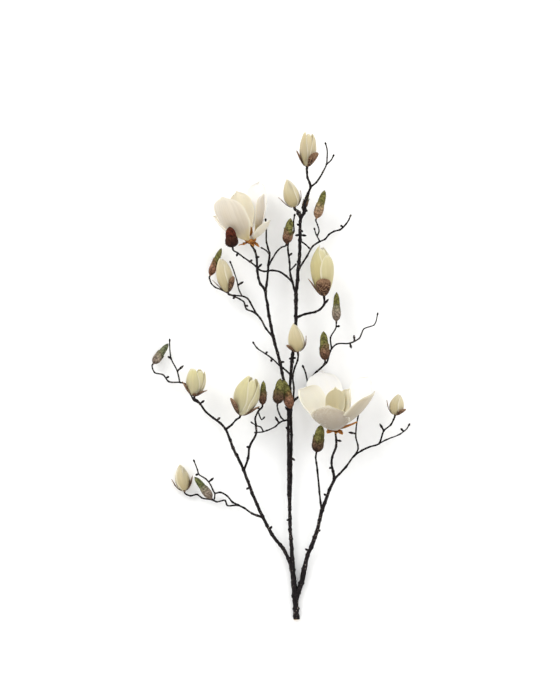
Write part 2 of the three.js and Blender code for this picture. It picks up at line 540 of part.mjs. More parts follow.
function flowerPetals({ radius, length, turn, wide, top, free, step }) {
  const start = (CUP_FLOOR + GAP) / length;
  if (!free) return wrappedPetals({ radius, length, turn, wide, top, start, step, cells: 4 });
  const heart = wrappedPetals({ radius: radius * HEART_RADIUS, length: length * HEART_LENGTH,
    turn: turn + 60, wide, top: 0, start, cells: 3 });
  const cups = [0, 1, 2].map((order) => cupPetal({ radius, start, wide, top,
    turn: turn + 120 * order, length: length * (1 - PETAL_DROP * order) }));
  return fuse([heart, ...cups]);
}

// A cup of papery bracts whose rim rises into one lobe for each bract. inside(v) is the radius
// that it must clear, and rim and flare give the rim's height and outward turn at an azimuth.
function lobedCup({ columns, turn, foot, seat, inside, rim, flare, length }) {
  const middle = (azimuth) => lerp(seat, rim(azimuth), 0.5);
  const atMiddle = (azimuth) => inside(middle(azimuth)) + flare(azimuth) / 4;
  const atRim = (azimuth) => inside(rim(azimuth)) + flare(azimuth);
  const rings = [
    [() => foot, () => 0],
    [() => inside(seat) + BRACT, () => CUP_FLOOR * 0.8],
    [(azimuth) => atMiddle(azimuth) + BRACT, (azimuth) => middle(azimuth) * length],
    [(azimuth) => atRim(azimuth) + BRACT, (azimuth) => rim(azimuth) * length],
    [atRim, (azimuth) => rim(azimuth) * length],
    [atMiddle, (azimuth) => middle(azimuth) * length],
    [() => inside(seat), () => CUP_FLOOR],
  ];
  return solid(loft(rings.map(([size, height]) => localRing(columns, turn, size, height))));
}

// How strongly a bract of this half-width in degrees covers an azimuth, from 0 to 1.
function cover(azimuth, centre, half) {
  const away = Math.abs(THREE.MathUtils.euclideanModulo(azimuth - centre + 180, 360) - 180);
  return Math.max(0, 1 - (away / half) ** 2);
}

function flowerBracts({ radius, length, wide, top, bracts }) {
  const half = (width) => Math.max(LEAST_BRACT, width / rad(radius));
  const strongest = (azimuth, part) => Math.max(0, ...bracts.map((bract) => (
    part(bract) * cover(azimuth, bract[0], half(bract[2])))));
  return lobedCup({
    columns: FLOWER_COLUMNS,
    turn: bracts[0][0],
    foot: 2,
    seat: (CUP_FLOOR + GAP) / length,
    length,
    inside: (v) => (radius * outline(v, { wide, top }) * BULGE + CLOSED_LIFT + CLEARANCE) * CHORD,
    rim: (azimuth) => Math.max(LEAST_RIM, strongest(azimuth, (bract) => bract[1])),
    flare: (azimuth) => radius * strongest(azimuth, (bract) => bract[3]),
  });
}

// Turns a place beside a petal's or strap's middle line to its azimuth.
function beside(azimuth, out, side, height) {
  const angle = rad(azimuth);
  return new THREE.Vector3(
    out * Math.cos(angle) - side * Math.sin(angle),
    -out * Math.sin(angle) - side * Math.cos(angle),
    height,
  );
}

// One petal of an open bloom: a middle line that leans out from the axis, and a cupped
// cross-section about it.
function openPetal([azimuth, length, width, lean0, lean1, lean2, curl0, curl1, sweep = 0]) {
  const leanAt = (v) => rad(
    lean0 * (1 - v) * (1 - 2 * v) + lean1 * 4 * v * (1 - v) + lean2 * v * (2 * v - 1),
  );
  const line = [[PETAL_ROOT, PETAL_SEAT]];
  for (let step = 0; step < LINE_STEPS; step += 1) {
    const lean = leanAt((step + 0.5) / LINE_STEPS);
    const [out, height] = line[step];
    const stride = length / LINE_STEPS;
    line.push([out + stride * Math.sin(lean), height + stride * Math.cos(lean)]);
  }
  return blade((u, v, depth) => {
    const at = Math.min(Math.floor(v * LINE_STEPS), LINE_STEPS - 1);
    const part = v * LINE_STEPS - at;
    const lean = leanAt(v);
    const shape = v < WIDEST
      ? lerp(FOOT_WIDTH, 1, Math.sin(Math.PI / 2 * v / WIDEST) ** FOOT_CURVE)
      : Math.sqrt(1 - TIP_CUT * ((v - WIDEST) / (1 - WIDEST)) ** TIP_CURVE);
    const curl = rad(lerp(curl0, curl1, v));
    const bend = width / 2 * shape / curl;
    const face = depth ? bend : bend + BLOOM_PETAL;
    const inward = bend - face * Math.cos(curl * u);
    return beside(
      azimuth,
      lerp(line[at][0], line[at + 1][0], part) - inward * Math.cos(lean),
      face * Math.sin(curl * u) + sweep * v ** SWEEP_CURVE,
      lerp(line[at][1], line[at + 1][1], part) + inward * Math.sin(lean),
    );
  }, 4, ROWS_UP);
}

function plainRings(rows) {
  return rows.map(([size, height]) => localRing(CUP_SIDES, 0, () => size, () => height));
}

function bloomPetals({ petals }) {
  return fuse([solid(loft(plainRings(RECEPTACLE))), ...petals.map(openPetal)]);
}

function bloomBracts({ bracts }) {
  const cup = [
    [2, 0],
    [BLOOM_CUP + BRACT, CUP_FLOOR * 0.8],
    [BLOOM_CUP + BRACT, CUP_FLOOR + 0.5],
    [BLOOM_CUP * 0.6, CUP_FLOOR],
  ];
  const straps = bracts.map(([azimuth, length, width, lean0, lean1]) => blade((u, v, depth) => {
    const lean = rad(lerp(lean0, lean1, v / 2));
    const height = CUP_FLOOR * 0.85 + length * v * Math.cos(lean) + BRACT_KEEL * u * u;
    return beside(
      azimuth,
      BLOOM_CUP * 0.9 + length * v * Math.sin(lean),
      width / 2 * Math.sin(Math.PI * (0.2 + 0.75 * v)) * u,
      depth ? height : height - BRACT,
    );
  }, 2, [0, 0.35, 0.7, 1]));
  return fuse([solid(loft(plainRings(cup))), ...straps]);
}

// Stamens stand round a pointed cone of carpels, as knobbly rows on one body.
function bloomCone() {
  return solid(loft(CONE_ROWS.map(([size, height], row) => (
    localRing(CUP_SIDES, row * 20, () => size, () => CONE_SEAT + height)))));
}

// ---------------------------------------------------------------- furry buds

const BUD_SIDES = 6;
const BUD_STEPS = [0.27, 0.5, 0.74, 0.91, 1];
const BUD_FULL = 0.25; // where a bud is thickest, as a share of its length
const BUD_FOOT = 0.5; // power of the curve of its foot
const BUD_SLIM = 0.8; // share of the thickness that is left further up
const BUD_ROUND = 3.6; // how blunt its tip is
const BUD_TIP = 0.3; // share of the radius left at the tip
const SCALE_REACH = 0.46; // height of the scales' rim, as a share of the bud's length
const SCALE_FLARE = 0.3;

// Share of a bud's radius at v along it: thick low down, then slimmer up to a round tip.
function budOutline(v) {
  if (v < BUD_FULL) return Math.sin(Math.PI / 2 * v / BUD_FULL) ** BUD_FOOT;
  const slim = lerp(1, BUD_SLIM, (v - BUD_FULL) / (1 - BUD_FULL));
  return Math.max(slim * Math.sqrt(1 - Math.max(2 * v - 1, 0) ** BUD_ROUND), BUD_TIP);
}

function budFur({ radius, length, turn }) {
  const start = (CUP_FLOOR + GAP) / length;
  return solid(loft([start, ...BUD_STEPS].map((v) => (
    localRing(BUD_SIDES, turn, () => radius * budOutline(v), () => length * v)))));
}

// Two brown scales joined at their foot clasp the lower half of a bud.
function budScales({ radius, length, turn }) {
  return lobedCup({
    columns: BUD_SIDES,
    turn,
    foot: 1.6,
    seat: (CUP_FLOOR + GAP) / length,
    length,
    inside: (v) => radius * budOutline(v) * BULGE + CLEARANCE,
    rim: (azimuth) => SCALE_REACH + 0.1 * Math.cos(2 * rad(azimuth - turn))
      + 0.05 * Math.cos(rad(azimuth - turn)),
    flare: () => SCALE_FLARE,
  });
}

// ---------------------------------------------------------------- assembly

const GROUND = [600, 1000, 40]; // everything that would reach into the surface is cut flat by this
const ground = solid(new THREE.BoxGeometry(...GROUND).translate(0, 0, -GROUND[2] / 2));
const materials = {
  wood: new THREE.MeshStandardMaterial({ color: 0x2b2423, roughness: 0.8, metalness: 0 }),
  petals: new THREE.MeshStandardMaterial({ color: 0xe9e0c8, roughness: 0.6, metalness: 0 }),
  bracts: new THREE.MeshStandardMaterial({ color: 0x7a4a26, roughness: 0.75, metalness: 0 }),
  fur: new THREE.MeshStandardMaterial({ color: 0x686c35, roughness: 0.95, metalness: 0 }),
  scales: new THREE.MeshStandardMaterial({ color: 0x5c3d29, roughness: 0.85, metalness: 0 }),
  cone: new THREE.MeshStandardMaterial({ color: 0xb8761a, roughness: 0.7, metalness: 0 }),
};

const branch = new THREE.Group();

function addPiece(name, material, body) {
  const { vertProperties, triVerts } = body.subtract(ground).getMesh();
  const geometry = new THREE.BufferGeometry();
  geometry.setAttribute('position', new THREE.BufferAttribute(new Float32Array(vertProperties), 3));
  geometry.setIndex(new THREE.BufferAttribute(new Uint32Array(triVerts), 1));
  geometry.computeVertexNormals();
  const mesh = new THREE.Mesh(geometry, material);
  mesh.name = name;
  branch.add(mesh);
}

function addCarried(name, material, body) {
  addPiece(name, material, body.transform(carried[name.replace(/_[a-z]+$/, '')].matrix.elements));
}

addPiece('wood', materials.wood, fuse(stems.flatMap(stemSolids)));
for (const name of Object.keys(flowers)) {
  addCarried(`${name}_petals`, materials.petals, flowerPetals(carried[name]));
  addCarried(`${name}_bracts`, materials.bracts, flowerBracts(carried[name]));
}
for (const name of Object.keys(blooms)) {
  addCarried(`${name}_petals`, materials.petals, bloomPetals(carried[name]));
  addCarried(`${name}_bracts`, materials.bracts, bloomBracts(carried[name]));
  addCarried(`${name}_cone`, materials.cone, bloomCone());
}
for (const name of Object.keys(buds)) {
  addCarried(`${name}_fur`, materials[carried[name].coat ?? 'fur'], budFur(carried[name]));
  addCarried(`${name}_scales`, materials.scales, budScales(carried[name]));
}

export default branch;
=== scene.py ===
import math
from collections import namedtuple

import bmesh
import bpy
import numpy as np
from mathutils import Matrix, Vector


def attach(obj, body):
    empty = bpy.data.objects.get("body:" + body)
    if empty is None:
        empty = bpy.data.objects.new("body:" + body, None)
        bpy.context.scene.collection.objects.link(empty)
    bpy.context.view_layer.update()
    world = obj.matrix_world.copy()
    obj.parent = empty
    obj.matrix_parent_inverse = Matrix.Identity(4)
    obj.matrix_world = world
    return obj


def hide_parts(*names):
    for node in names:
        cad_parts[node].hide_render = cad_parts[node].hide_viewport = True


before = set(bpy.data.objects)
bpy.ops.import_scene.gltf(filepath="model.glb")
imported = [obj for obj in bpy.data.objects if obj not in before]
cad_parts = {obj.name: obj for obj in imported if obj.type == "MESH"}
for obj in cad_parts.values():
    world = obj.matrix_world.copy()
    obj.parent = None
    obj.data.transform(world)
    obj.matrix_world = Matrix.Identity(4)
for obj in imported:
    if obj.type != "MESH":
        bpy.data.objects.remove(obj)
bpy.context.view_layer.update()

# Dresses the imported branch: fine bark, petals with veins and rolled lips, papery bracts, furry
# buds and stamens. Shapes are worked out in millimetres in the part's own frame, and become
# metres where a mesh is made.

MM = 0.001
SQUARE = 1.6  # one square of the drawing, in mm
DRAWING_MIDDLE = (281, 376)  # the square over the origin

RIGHT, FRONT, LEFT, BACK = 0, 90, 180, 270  # azimuths about a flower's axis, in degrees

GAP = 0.3  # between a stem's end and what it carries
CUP_FLOOR = 1.3  # thickness of the bract cup under a flower
CLOSED_LIFT = 0.9  # how far a wrapped petal's free edge stands off the next one
CLASP = 1.07  # bracts are this much wider than what they hold
CLEARANCE = 0.7  # and stand this far off it


# Each stem: what it ends in, the stops of its course, and the ends of the nubs beside it. A stop is
# x and y in the drawing, height and thickness in mm. Between two thicknesses the stem tapers. A
# nub's end is x and y in the drawing.
STEMS = [
    # trunk and leader
    ("flower_1", [[296.5, 620.98, 3.9, 10], [296, 610, 4.6], [295, 597, 5.8], [293.8, 583, 7.2],
     [292.8, 571, 8, 8.3], [292.3, 560, 9, 6.8], [291.8, 550, 10, 6], [291, 540, 11], [290.2, 530, 12],
     [290, 520, 13, 5.6], [289.8, 510, 14.3], [290, 500, 15.5, 5], [291, 480, 17, 4.5], [291, 465, 18],
     [291.2, 450, 19], [291.5, 435, 20], [290.8, 418, 21.6], [291, 410, 22.3, 4.6], [290.3, 400, 23],
     [290, 388, 24, 4.8], [290.5, 378, 25, 4.2], [292, 362, 27, 5.7], [292.7, 354, 27.6, 5],
     [295, 335, 29], [296, 316, 30, 5.8], [296, 308, 30.5, 5], [296, 300, 31, 6.7], [296, 294, 31.6, 5.5],
     [296.7, 288, 32.2, 5], [297.5, 280, 33, 5.8], [298, 270, 34, 5.3], [299, 262, 35],
     [300, 240, 38, 5.5], [300, 230, 39, 4.8], [300.2, 222, 40], [301.5, 217, 41], [304, 213, 41.6],
     [305, 210, 42, 4.8], [304.5, 206, 42.6, 3.8], [306, 200, 43.4], [308, 194, 44.2],
     [310.5, 187, 45, 3.8], [309.5, 183, 45.3], [307.5, 178, 45.6], [307, 173, 45.8, 3.4]], [286.5, 521],
     [295, 461], [288.8, 359], [296.3, 358], [307.5, 211.5], [303, 232], [306.5, 235.8], [295, 235.5],
     [296.8, 224]),
    ("tip", [[310, 187.5, 45, 2.9], [316, 183, 46], [320, 177.5, 46], [323, 172, 46], [326.5, 164.5, 46],
     [327, 158, 47], [327, 150, 48], [325, 142.5, 49, 2]]),
    ("tip", [[326, 165, 46, 2.2], [331, 160.5, 44], [334, 154.5, 43, 2]]),
    ("tip", [[304, 213, 41.6, 2.4], [302.8, 210, 44], [302, 206.5, 45.5, 2.2]]),
    ("bud_2", [[304.8, 210.5, 42, 2.4], [304, 209.5, 37.5, 2.4]]),
    ("flower_2", [[301, 218.5, 40.6, 4.4], [298.5, 213, 43, 7.3], [297, 211, 43.5, 3.7]]),
    ("tip", [[300.5, 241, 37.8, 2.4], [306, 245, 37], [310, 248.8, 36, 2]]),
    # long limb beside the leader, up to the left
    ("tip", [[289.9, 508, 14.5, 5.4], [288.8, 495, 17], [288.6, 480, 19.5, 4.6], [288.5, 465, 21.3],
     [288.5, 450, 23], [288.3, 430, 26], [288.5, 415, 28], [288, 400, 29], [286, 388, 29], [282, 373, 29],
     [280, 362, 29], [277.5, 353, 29], [275, 344, 29], [273, 336, 29.3, 4.9], [271, 326, 29.7],
     [269, 316, 30], [267.5, 305, 30.6], [265.5, 291, 32, 4.4], [266.5, 285, 34, 3.7], [268, 271, 37],
     [268.3, 265, 37.5], [269.5, 253, 37, 3.2], [268, 248, 32], [266.5, 242, 29], [266.3, 228, 27],
     [265.5, 218, 26, 2.2]], [285.8, 427], [284.5, 362]),
    ("bloom_1", [[265.6, 292, 32, 3.7], [263, 287, 32.6], [260.5, 284, 33, 3.9], [258.5, 278, 34],
     [257.3, 271, 35], [256.5, 257, 36], [254.8, 250.5, 36.5, 3.4]], [259.5, 257]),
    ("tip", [[269.4, 254, 37.5, 2.4], [266, 250.5, 39.5], [260.5, 247.3, 41, 2]]),
    ("bud_3", [[268.3, 266, 37.5, 2.9], [272, 259.5, 40], [276, 253, 43], [281.5, 247.5, 47.5, 2.4]]),
    ("tip", [[296, 296, 31, 3.7], [294, 288, 33], [292.5, 282, 35], [290.5, 275, 36.5], [289.5, 262, 38],
     [288, 250, 37.5], [288, 244, 35.5], [290, 239, 32.5], [294, 231, 31.5], [293.5, 222, 32],
     [295, 213.5, 32, 2.2]], [292.3, 253]),
    ("tip", [[290, 270.5, 37, 2.4], [294, 266.5, 32], [296.6, 263.5, 29.5, 2]]),
    ("bud_1", [[292.5, 282, 35, 3.2], [286, 276, 38], [280, 272, 41], [272, 270.5, 44], [264, 271.5, 47],
     [259.5, 270, 48], [256, 266.5, 49.5], [250, 262, 54], [244, 258, 61], [238, 253.5, 69, 2.4]],
     [262, 264], [252.5, 260], [236.8, 257]),
    ("tip", [[299.3, 268.5, 34.3, 2.9], [303, 262.5, 31], [307, 256, 28], [313, 246, 25],
     [319, 241.8, 27], [325, 239, 28], [329, 234.5, 28], [334, 231.3, 27], [340, 229.5, 26, 2.7],
     [346, 224, 25], [349, 219.5, 24], [351.3, 214, 22, 2]], [340.5, 225]),
    ("tip", [[320, 241.3, 27.2, 2.2], [316.3, 234.5, 30], [314, 227.5, 33, 1.8]]),
    ("bud_4", [[317, 236, 29.4, 2.2], [319, 231.5, 32], [317.5, 224.5, 33.5, 2.2]]),
    ("flower_3", [[296, 318, 30, 3.7], [300, 316, 31.5], [305, 314, 33.5], [310, 313, 36], [315, 312, 39],
     [320, 309.5, 42], [323.8, 305, 44.5, 3.4]], [328.5, 299]),
    ("flower_5", [[291.2, 409, 22.2, 3.2], [293.3, 398, 26], [293.8, 388, 32], [292.8, 376, 37],
     [295, 367, 41], [297.6, 360, 44.5, 2.9]]),
    ("tip", [[291, 375, 25.3, 2.9], [283, 368, 23], [279, 365, 21.5], [272, 358.5, 20],
     [265.5, 353.8, 18], [257, 348, 16], [252.4, 341.5, 13, 2]], [271, 362], [267.5, 351.5]),
    # twig to the two left-hand flowers and the small bud beyond them
    ("flower_4", [[273, 337, 29.3, 3.4], [266, 328.5, 27], [260, 318, 25], [257, 314.5, 24, 2.9],
     [254.5, 310.5, 24.5], [250, 302, 25.5], [247.5, 298.3, 26], [244, 296.6, 27],
     [234.5, 295.3, 31, 2.4]]),
    ("bud_5", [[256.5, 314, 24, 2.7], [252, 311.3, 19], [246.3, 309, 16], [243.5, 301.5, 15],
     [239.5, 298.8, 14], [231, 294.8, 15], [222, 289.8, 17], [214.5, 286.7, 17], [211, 283, 16.5],
     [209.6, 279.5, 15.5, 2.2]], [248.2, 306], [232.5, 298.5]),
    ("tip", [[242, 296, 28, 2.2], [239, 290, 25.5], [236.6, 280, 22], [231.5, 265, 19],
     [229.5, 260.5, 18, 1.8]], [243.5, 281.5]),
    # long limb out to the left
    ("flower_6", [[292, 569, 8, 6.4], [288, 559, 10, 5.7], [283, 549, 12], [280, 545.5, 13],
     [277, 542, 13.6], [272, 535, 15, 5.2], [267, 526, 17], [262.5, 517, 19, 5.2], [257, 505, 21.5],
     [252, 493, 24], [248, 482, 26], [243.5, 470, 28, 4.7], [236.5, 455, 30], [233, 448, 31, 4.7],
     [230, 440, 32], [225.5, 429, 33.5, 3.8], [220, 423, 34], [213, 417.7, 34], [206, 412, 34],
     [200, 403.8, 33.5, 3.3], [197.2, 400.5, 33.8, 3.1]], [272, 526.5], [246, 489.5], [220.3, 417.5],
     [204.5, 400.3]),
    ("bud_8", [[198.5, 402.5, 33.3, 2.9], [194, 400.5, 30], [190.5, 394.5, 21], [184.5, 383.8, 17.5],
     [180, 382.6, 17.5], [168, 381.6, 13], [162.5, 374.9, 12], [154, 372.5, 11], [152, 368.5, 12, 2.2]],
     [168.8, 376.5]),
    ("knob", [[179.5, 382.6, 17.5, 2.4], [177, 371, 22], [171, 358.7, 25], [169.5, 345, 26.5],
     [169.5, 338.5, 27, 2]], [167.5, 356.3], [183.5, 365.5]),
    ("flower_7", [[225.6, 429.5, 33.5, 3.4], [229, 427, 35.5], [232, 424.5, 38], [236, 419.8, 41, 2.9]]),
    ("bud_9", [[243.7, 470.5, 28, 3.7], [248, 458.5, 30], [249.5, 447, 31.3, 3.7], [256.2, 433, 32.5],
     [256, 425.5, 33.5], [255.2, 418.5, 34.5], [258.5, 411, 35.5], [261.5, 408, 36.3, 2.4]], [246.3, 447],
     [257, 407]),
    ("tip", [[258, 411.8, 35.3, 2.2], [262, 419.5, 33.5], [265, 416.5, 34, 1.8]]),
    ("tip", [[288.4, 420, 27.3, 2.9], [284, 420.7, 32.5], [279, 423, 35], [276, 426, 35.6],
     [267, 430.5, 36.6], [263, 431.7, 37], [254, 432.7, 38.5, 2]], [275, 416.5]),
    ("knob", [[263.4, 431.6, 37, 2.2], [260.5, 426.8, 38], [257, 425.8, 39], [250.5, 421.6, 41, 1.8]]),
    ("bud_10", [[284.3, 420.7, 32.3, 2.7], [281, 417.3, 38], [279, 413, 43], [277.7, 409, 49, 2.4]]),
    ("bud_11", [[288.4, 418, 27.7, 2.9], [289.8, 412.5, 35.5, 2.4]], [285, 406.5]),
    # low twig on the left
    ("knob", [[262.7, 517.8, 19, 3.7], [257, 516, 18.5], [252, 514, 18], [244, 508.5, 17],
     [238, 505.5, 16.4, 2.9], [232.5, 502.7, 17], [227, 496.3, 18.5], [220, 492.7, 19],
     [214.7, 493.5, 19.4], [212.5, 490, 20, 2.4], [210.5, 485.5, 21], [206, 479.5, 22.5],
     [198.4, 474, 24], [197.3, 470, 25], [193.3, 459.5, 27, 2]], [213.7, 478], [195.3, 475.5]),
    ("bud_13", [[214.9, 493.3, 19.4, 2.2], [214, 499.5, 25.5, 2.2]]),
    ("flower_9", [[238.5, 505.8, 16.4, 2.7], [234, 506, 13], [227, 506, 10], [225, 501.3, 8.5],
     [216, 502.5, 7], [212.5, 500.8, 6.5], [201, 498.4, 6], [197, 495.3, 6], [190, 496.5, 6.5],
     [186.3, 495.3, 8.3, 2.4]]),
    # right-hand limb
    ("bloom_2", [[295.2, 600, 6, 9.1], [298, 593.5, 6.5], [301.5, 584, 7], [304.5, 570, 9, 7.8],
     [307.8, 556, 11.5, 6.5], [311.3, 548, 12.8, 6.5], [315, 538, 15], [316.8, 532.5, 16],
     [319.7, 521, 18, 6], [322, 511, 20, 6.2], [325, 503, 22], [329.5, 490, 25.5, 5.2],
     [334.3, 478.5, 29, 4.9], [333, 471, 32], [331.4, 463, 36.5, 3.9], [332.2, 457, 39], [336, 446, 44],
     [336.2, 440, 45.4, 3.6]], [305, 549.5], [320.8, 530.5], [323.8, 494], [329, 468.5], [341.5, 441]),
    ("bud_12", [[321.9, 511, 20, 3.1], [320.7, 503, 23], [319.5, 492, 26], [317.3, 470, 31.5],
     [316.4, 463, 33.5, 3.1], [315.7, 457, 35, 2.4]]),
    ("flower_8", [[333.5, 480, 28.6, 3.9], [339.5, 474, 29], [346, 467, 28.7], [354, 456.3, 27.5, 3.1],
     [362, 450.6, 26], [370, 447, 24], [379.7, 443.4, 22, 2.9], [381, 440, 24], [384, 430.8, 29],
     [391, 424.6, 33], [393.6, 419.5, 35.5, 2.6]], [379.7, 423.6]),
    ("tip", [[354.5, 456, 27.5, 2.7], [358.2, 449, 25], [358, 445.5, 24], [356, 437.8, 21],
     [356.2, 430, 20], [358, 418, 19], [364, 401, 22], [370.6, 386.5, 25, 2]], [348.5, 432.5]),
    ("knob", [[379.3, 443.6, 22, 2.4], [386.5, 440, 20], [400.5, 434.3, 15], [407.5, 428.8, 12],
     [410.5, 423.6, 10, 2]], [401, 428.5]),
    # twig that passes under the lower bloom
    ("bud_6", [[290.6, 405, 22.6, 3.7], [296, 399, 19], [303, 393, 13], [308, 385.5, 9, 3.2],
     [312.5, 377, 7], [317, 371.7, 7], [322, 367.2, 16, 2.9], [324.3, 363.5, 31, 2.4]]),
    ("knob", [[308.2, 385, 9, 2.7], [305.5, 372.5, 16], [302.5, 365, 23, 2.4]]),
    ("knob", [[320.5, 368.7, 14.5, 2.7], [326.8, 362.5, 24], [330.5, 351, 26.5], [332, 348.3, 27, 2.7],
     [336.5, 344.3, 28], [350, 343.2, 27], [359.3, 338.3, 26], [364, 329, 25], [374.5, 324.6, 24],
     [378.3, 312.3, 22, 1.8]], [351.5, 348.5], [354, 335]),
    ("bud_7", [[331.8, 349, 27, 2.7], [330.5, 338, 30], [336.2, 326.5, 34, 2.2]], [340, 326]),
]

# Closed and half-open flowers. wide: where a flower is widest, as a share of its length. top: share
# of its radius left at the top. turn: azimuth of the outermost petal. tint: of its petals. bracts:
# [azimuth, reach as a share of the length, width in mm, flare]. free: its petals stand free round a
# closed heart. step: how much lower each petal ends.
Flower = namedtuple("Flower", "base tip width wide top turn tint bracts free step", defaults=(False, 0.045))
FLOWERS = {
    "flower_1": Flower([307, 167, 46], [309, 133, 50], 25, 0.5, 0.55, 140, "ivory",
                       [[165, 0.45, 6, 0.3], [50, 0.44, 11, 0.5]], free=True),
    "flower_2": Flower([294.5, 207.5, 43.5], [287, 179, 45], 24, 0.35, 0, 100, "beige",
                       [[LEFT, 0.45, 6, 0.5], [RIGHT, 0.5, 7, 0.15]]),
    "flower_3": Flower([324, 296, 45], [320.5, 245.5, 50], 36, 0.56, 0.05, 140, "yellow",
                       [[FRONT, 0.35, 24, 0.05], [170, 0.36, 8, 0.25], [BACK, 0.3, 16, 0.1]], step=0.1),
    "flower_4": Flower([228, 292, 35], [221, 258, 38], 24.5, 0.46, 0.15, 120, "beige",
                       [[45, 0.42, 10, 0.25], [LEFT, 0.42, 5, 0.45]]),
    "flower_5": Flower([297.7, 352, 48.5], [293.5, 323, 50], 25, 0.32, 0, 80, "beige",
                       [[150, 0.3, 9, 0.2], [RIGHT, 0.5, 7, 0.2]]),
    "flower_6": Flower([194.5, 396, 35], [197, 368.5, 40], 31, 0.56, 0.7, 110, "cream",
                       [[160, 0.5, 8, 0.25], [35, 0.28, 12, 0.45], [FRONT, 0.12, 8, 0.05]], free=True),
    "flower_7": Flower([240.5, 415, 44], [253, 376.5, 50], 39, 0.52, 0.4, 130, "cream",
                       [[140, 0.36, 13, 0.35], [20, 0.36, 8, 0.2]], free=True),
    "flower_8": Flower([395, 415, 37], [399, 394, 40], 22, 0.42, 0.1, 120, "beige",
                       [[40, 0.4, 10, 0.35], [LEFT, 0.6, 6, 0.4]]),
    "flower_9": Flower([184, 491.5, 11.6], [179.5, 464.5, 11], 22.4, 0.36, 0, 60, "beige",
                       [[12, 0.5, 7, 0.35], [LEFT, 0.5, 6, 0.35]]),
}

# Open blooms. petals: [azimuth, length, width, lean from the axis at base, middle and tip, half-angle
# that the petal curls round at its base and at its tip, sideways sweep of the tip]. bracts: [azimuth,
# length, width, lean at base and end]. The last field is how white each petal is painted, from 0 for
# beige to 0.9: painted light and shade, beige on petals turned away from the light, white on the lit
# back petals.
Bloom = namedtuple("Bloom", "base towards petals bracts whites")
BLOOMS = {
    "bloom_1": Bloom(
        [251, 242.5, 38], [-0.16, 1, 0.2],
        [[120, 104, 61, 80, 26, -6, 52, 34, 8],
         [198, 72, 46, 76, 48, 22, 60, 40],
         [250, 84, 44, 50, 14, -2, 60, 42],
         [316, 100, 52, 58, 18, 4, 60, 34],
         [26, 82, 34, 50, 21, 4, 60, 44],
         [30, 48, 40, 74, 50, 12, 55, 26],
         [BACK, 56, 38, 82, 62, 14, 50, 22]],
        [[165, 18, 9, 96, 100], [40, 16, 8, 118, 136]],
        (0.12, 0.5, 0.6, 0.88, 0.05, 0.4, 0.9)),
    "bloom_2": Bloom(
        [335.3, 429.5, 47], [0, 1, 0.47],
        [[252, 101, 62, 70, 49, 20, 42, 22],
         [203, 84, 80, 68, 48, 26, 56, 42],
         [96, 84, 66, 78, 38, -52, 72, 26, 8],
         [35, 106, 66, 60, 39, 20, 60, 36],
         [312, 101, 48, 72, 50, 32, 58, 30],
         [268, 66, 36, 48, 8, -8, 60, 42],
         [332, 69, 36, 50, 16, -4, 60, 42],
         [276, 68, 40, 86, 76, 27, 50, 22]],
        [[355, 34, 9, 80, 62], [50, 15, 11, 104, 92], [135, 17, 13, 100, 76]],
        (0.88, 0.78, 0.0, 0.15, 0.88, 0.7, 0.75, 0.9)),
}

# Furry buds. turn: the azimuth of the longer bud scale. fur and scales: their colours. slot: the
# record's material for the fur, "scales" on the one bud that is still brown all over; nothing here reads
# it.
Bud = namedtuple("Bud", "base tip width turn fur scales slot", defaults=("fur",))
BUDS = {
    "bud_1": Bud([233, 248, 81], [230, 228.5, 88], 20, 80, "coat", "coat", "scales"),
    "bud_2": Bud([303.7, 208.5, 34.5], [308.5, 192, 36], 8, 0, "olive", "brown"),
    "bud_3": Bud([286.5, 243.5, 50], [290.5, 219.5, 52], 15.5, 150, "olive", "brown"),
    "bud_4": Bud([316.5, 218, 34], [324.5, 191, 37], 14, 100, "olive", "tan"),
    "bud_5": Bud([210, 275, 15], [221, 248.5, 17], 11.5, 150, "olive", "rust"),
    "bud_6": Bud([325, 360, 38], [323.5, 332, 42], 15.5, 60, "olive", "brown"),
    "bud_7": Bud([336.3, 321, 35.5], [336.5, 293, 38], 13, 90, "olive", "grey"),
    "bud_8": Bud([153, 363.5, 12.5], [167.5, 344, 15], 13, 120, "dull", "grey"),
    "bud_9": Bud([262.5, 404.5, 36.5], [263.5, 381.5, 37], 11.5, 60, "olive", "brown"),
    "bud_10": Bud([277.5, 403.5, 53], [280.5, 379, 55], 17, 110, "olive", "dark"),
    "bud_11": Bud([290.5, 408, 42], [284, 380.5, 41], 15.5, 50, "olive", "rust"),
    "bud_12": Bud([316.5, 452, 36], [321, 425.5, 37], 18.5, 200, "olive", "dark"),
    "bud_13": Bud([211.5, 498.5, 30], [195, 477.5, 33], 13, 90, "deep", "grey"),
}


# ---------------------------------------------------------------- numbers and places


def rad(degrees):
    return degrees * math.pi / 180


def lerp(low, high, part):
    return low + (high - low) * part


def unit(vectors):
    return vectors / np.maximum(np.linalg.norm(vectors, axis=-1, keepdims=True), 1e-9)


def place(x, y, z):
    return np.array(((x - DRAWING_MIDDLE[0]) * SQUARE, (DRAWING_MIDDLE[1] - y) * SQUARE, z), float)


def polar(azimuth, radius, height):
    """A place in a flower's frame: x to its right, y to its back, z along its axis."""
    angle = rad(azimuth)
    return np.stack(np.broadcast_arrays(
        radius * np.cos(angle), -radius * np.sin(angle), height), axis=-1)


def beside(azimuth, out, side, height):
    """A place beside the middle line of a petal that stands at an azimuth."""
    angle = rad(azimuth)
    return np.stack(np.broadcast_arrays(
        out * np.cos(angle) - side * np.sin(angle),
        -out * np.sin(angle) - side * np.cos(angle),
        height), axis=-1)


def waves(seed, count, *ranges):
    """A smooth random function of as many numbers as there are ranges, from about -1 to 1."""
    draw = np.random.default_rng(seed)
    rates = [draw.uniform(-limit, limit, count) for limit in ranges]
    phases = draw.uniform(0, 2 * math.pi, count)

    def at(*values):
        total = 0
        for index in range(count):
            turn = phases[index]
            for rate, value in zip(rates, values):
                turn = turn + rate[index] * value
            total = total + np.sin(turn)
        return total / math.sqrt(count)

    return at


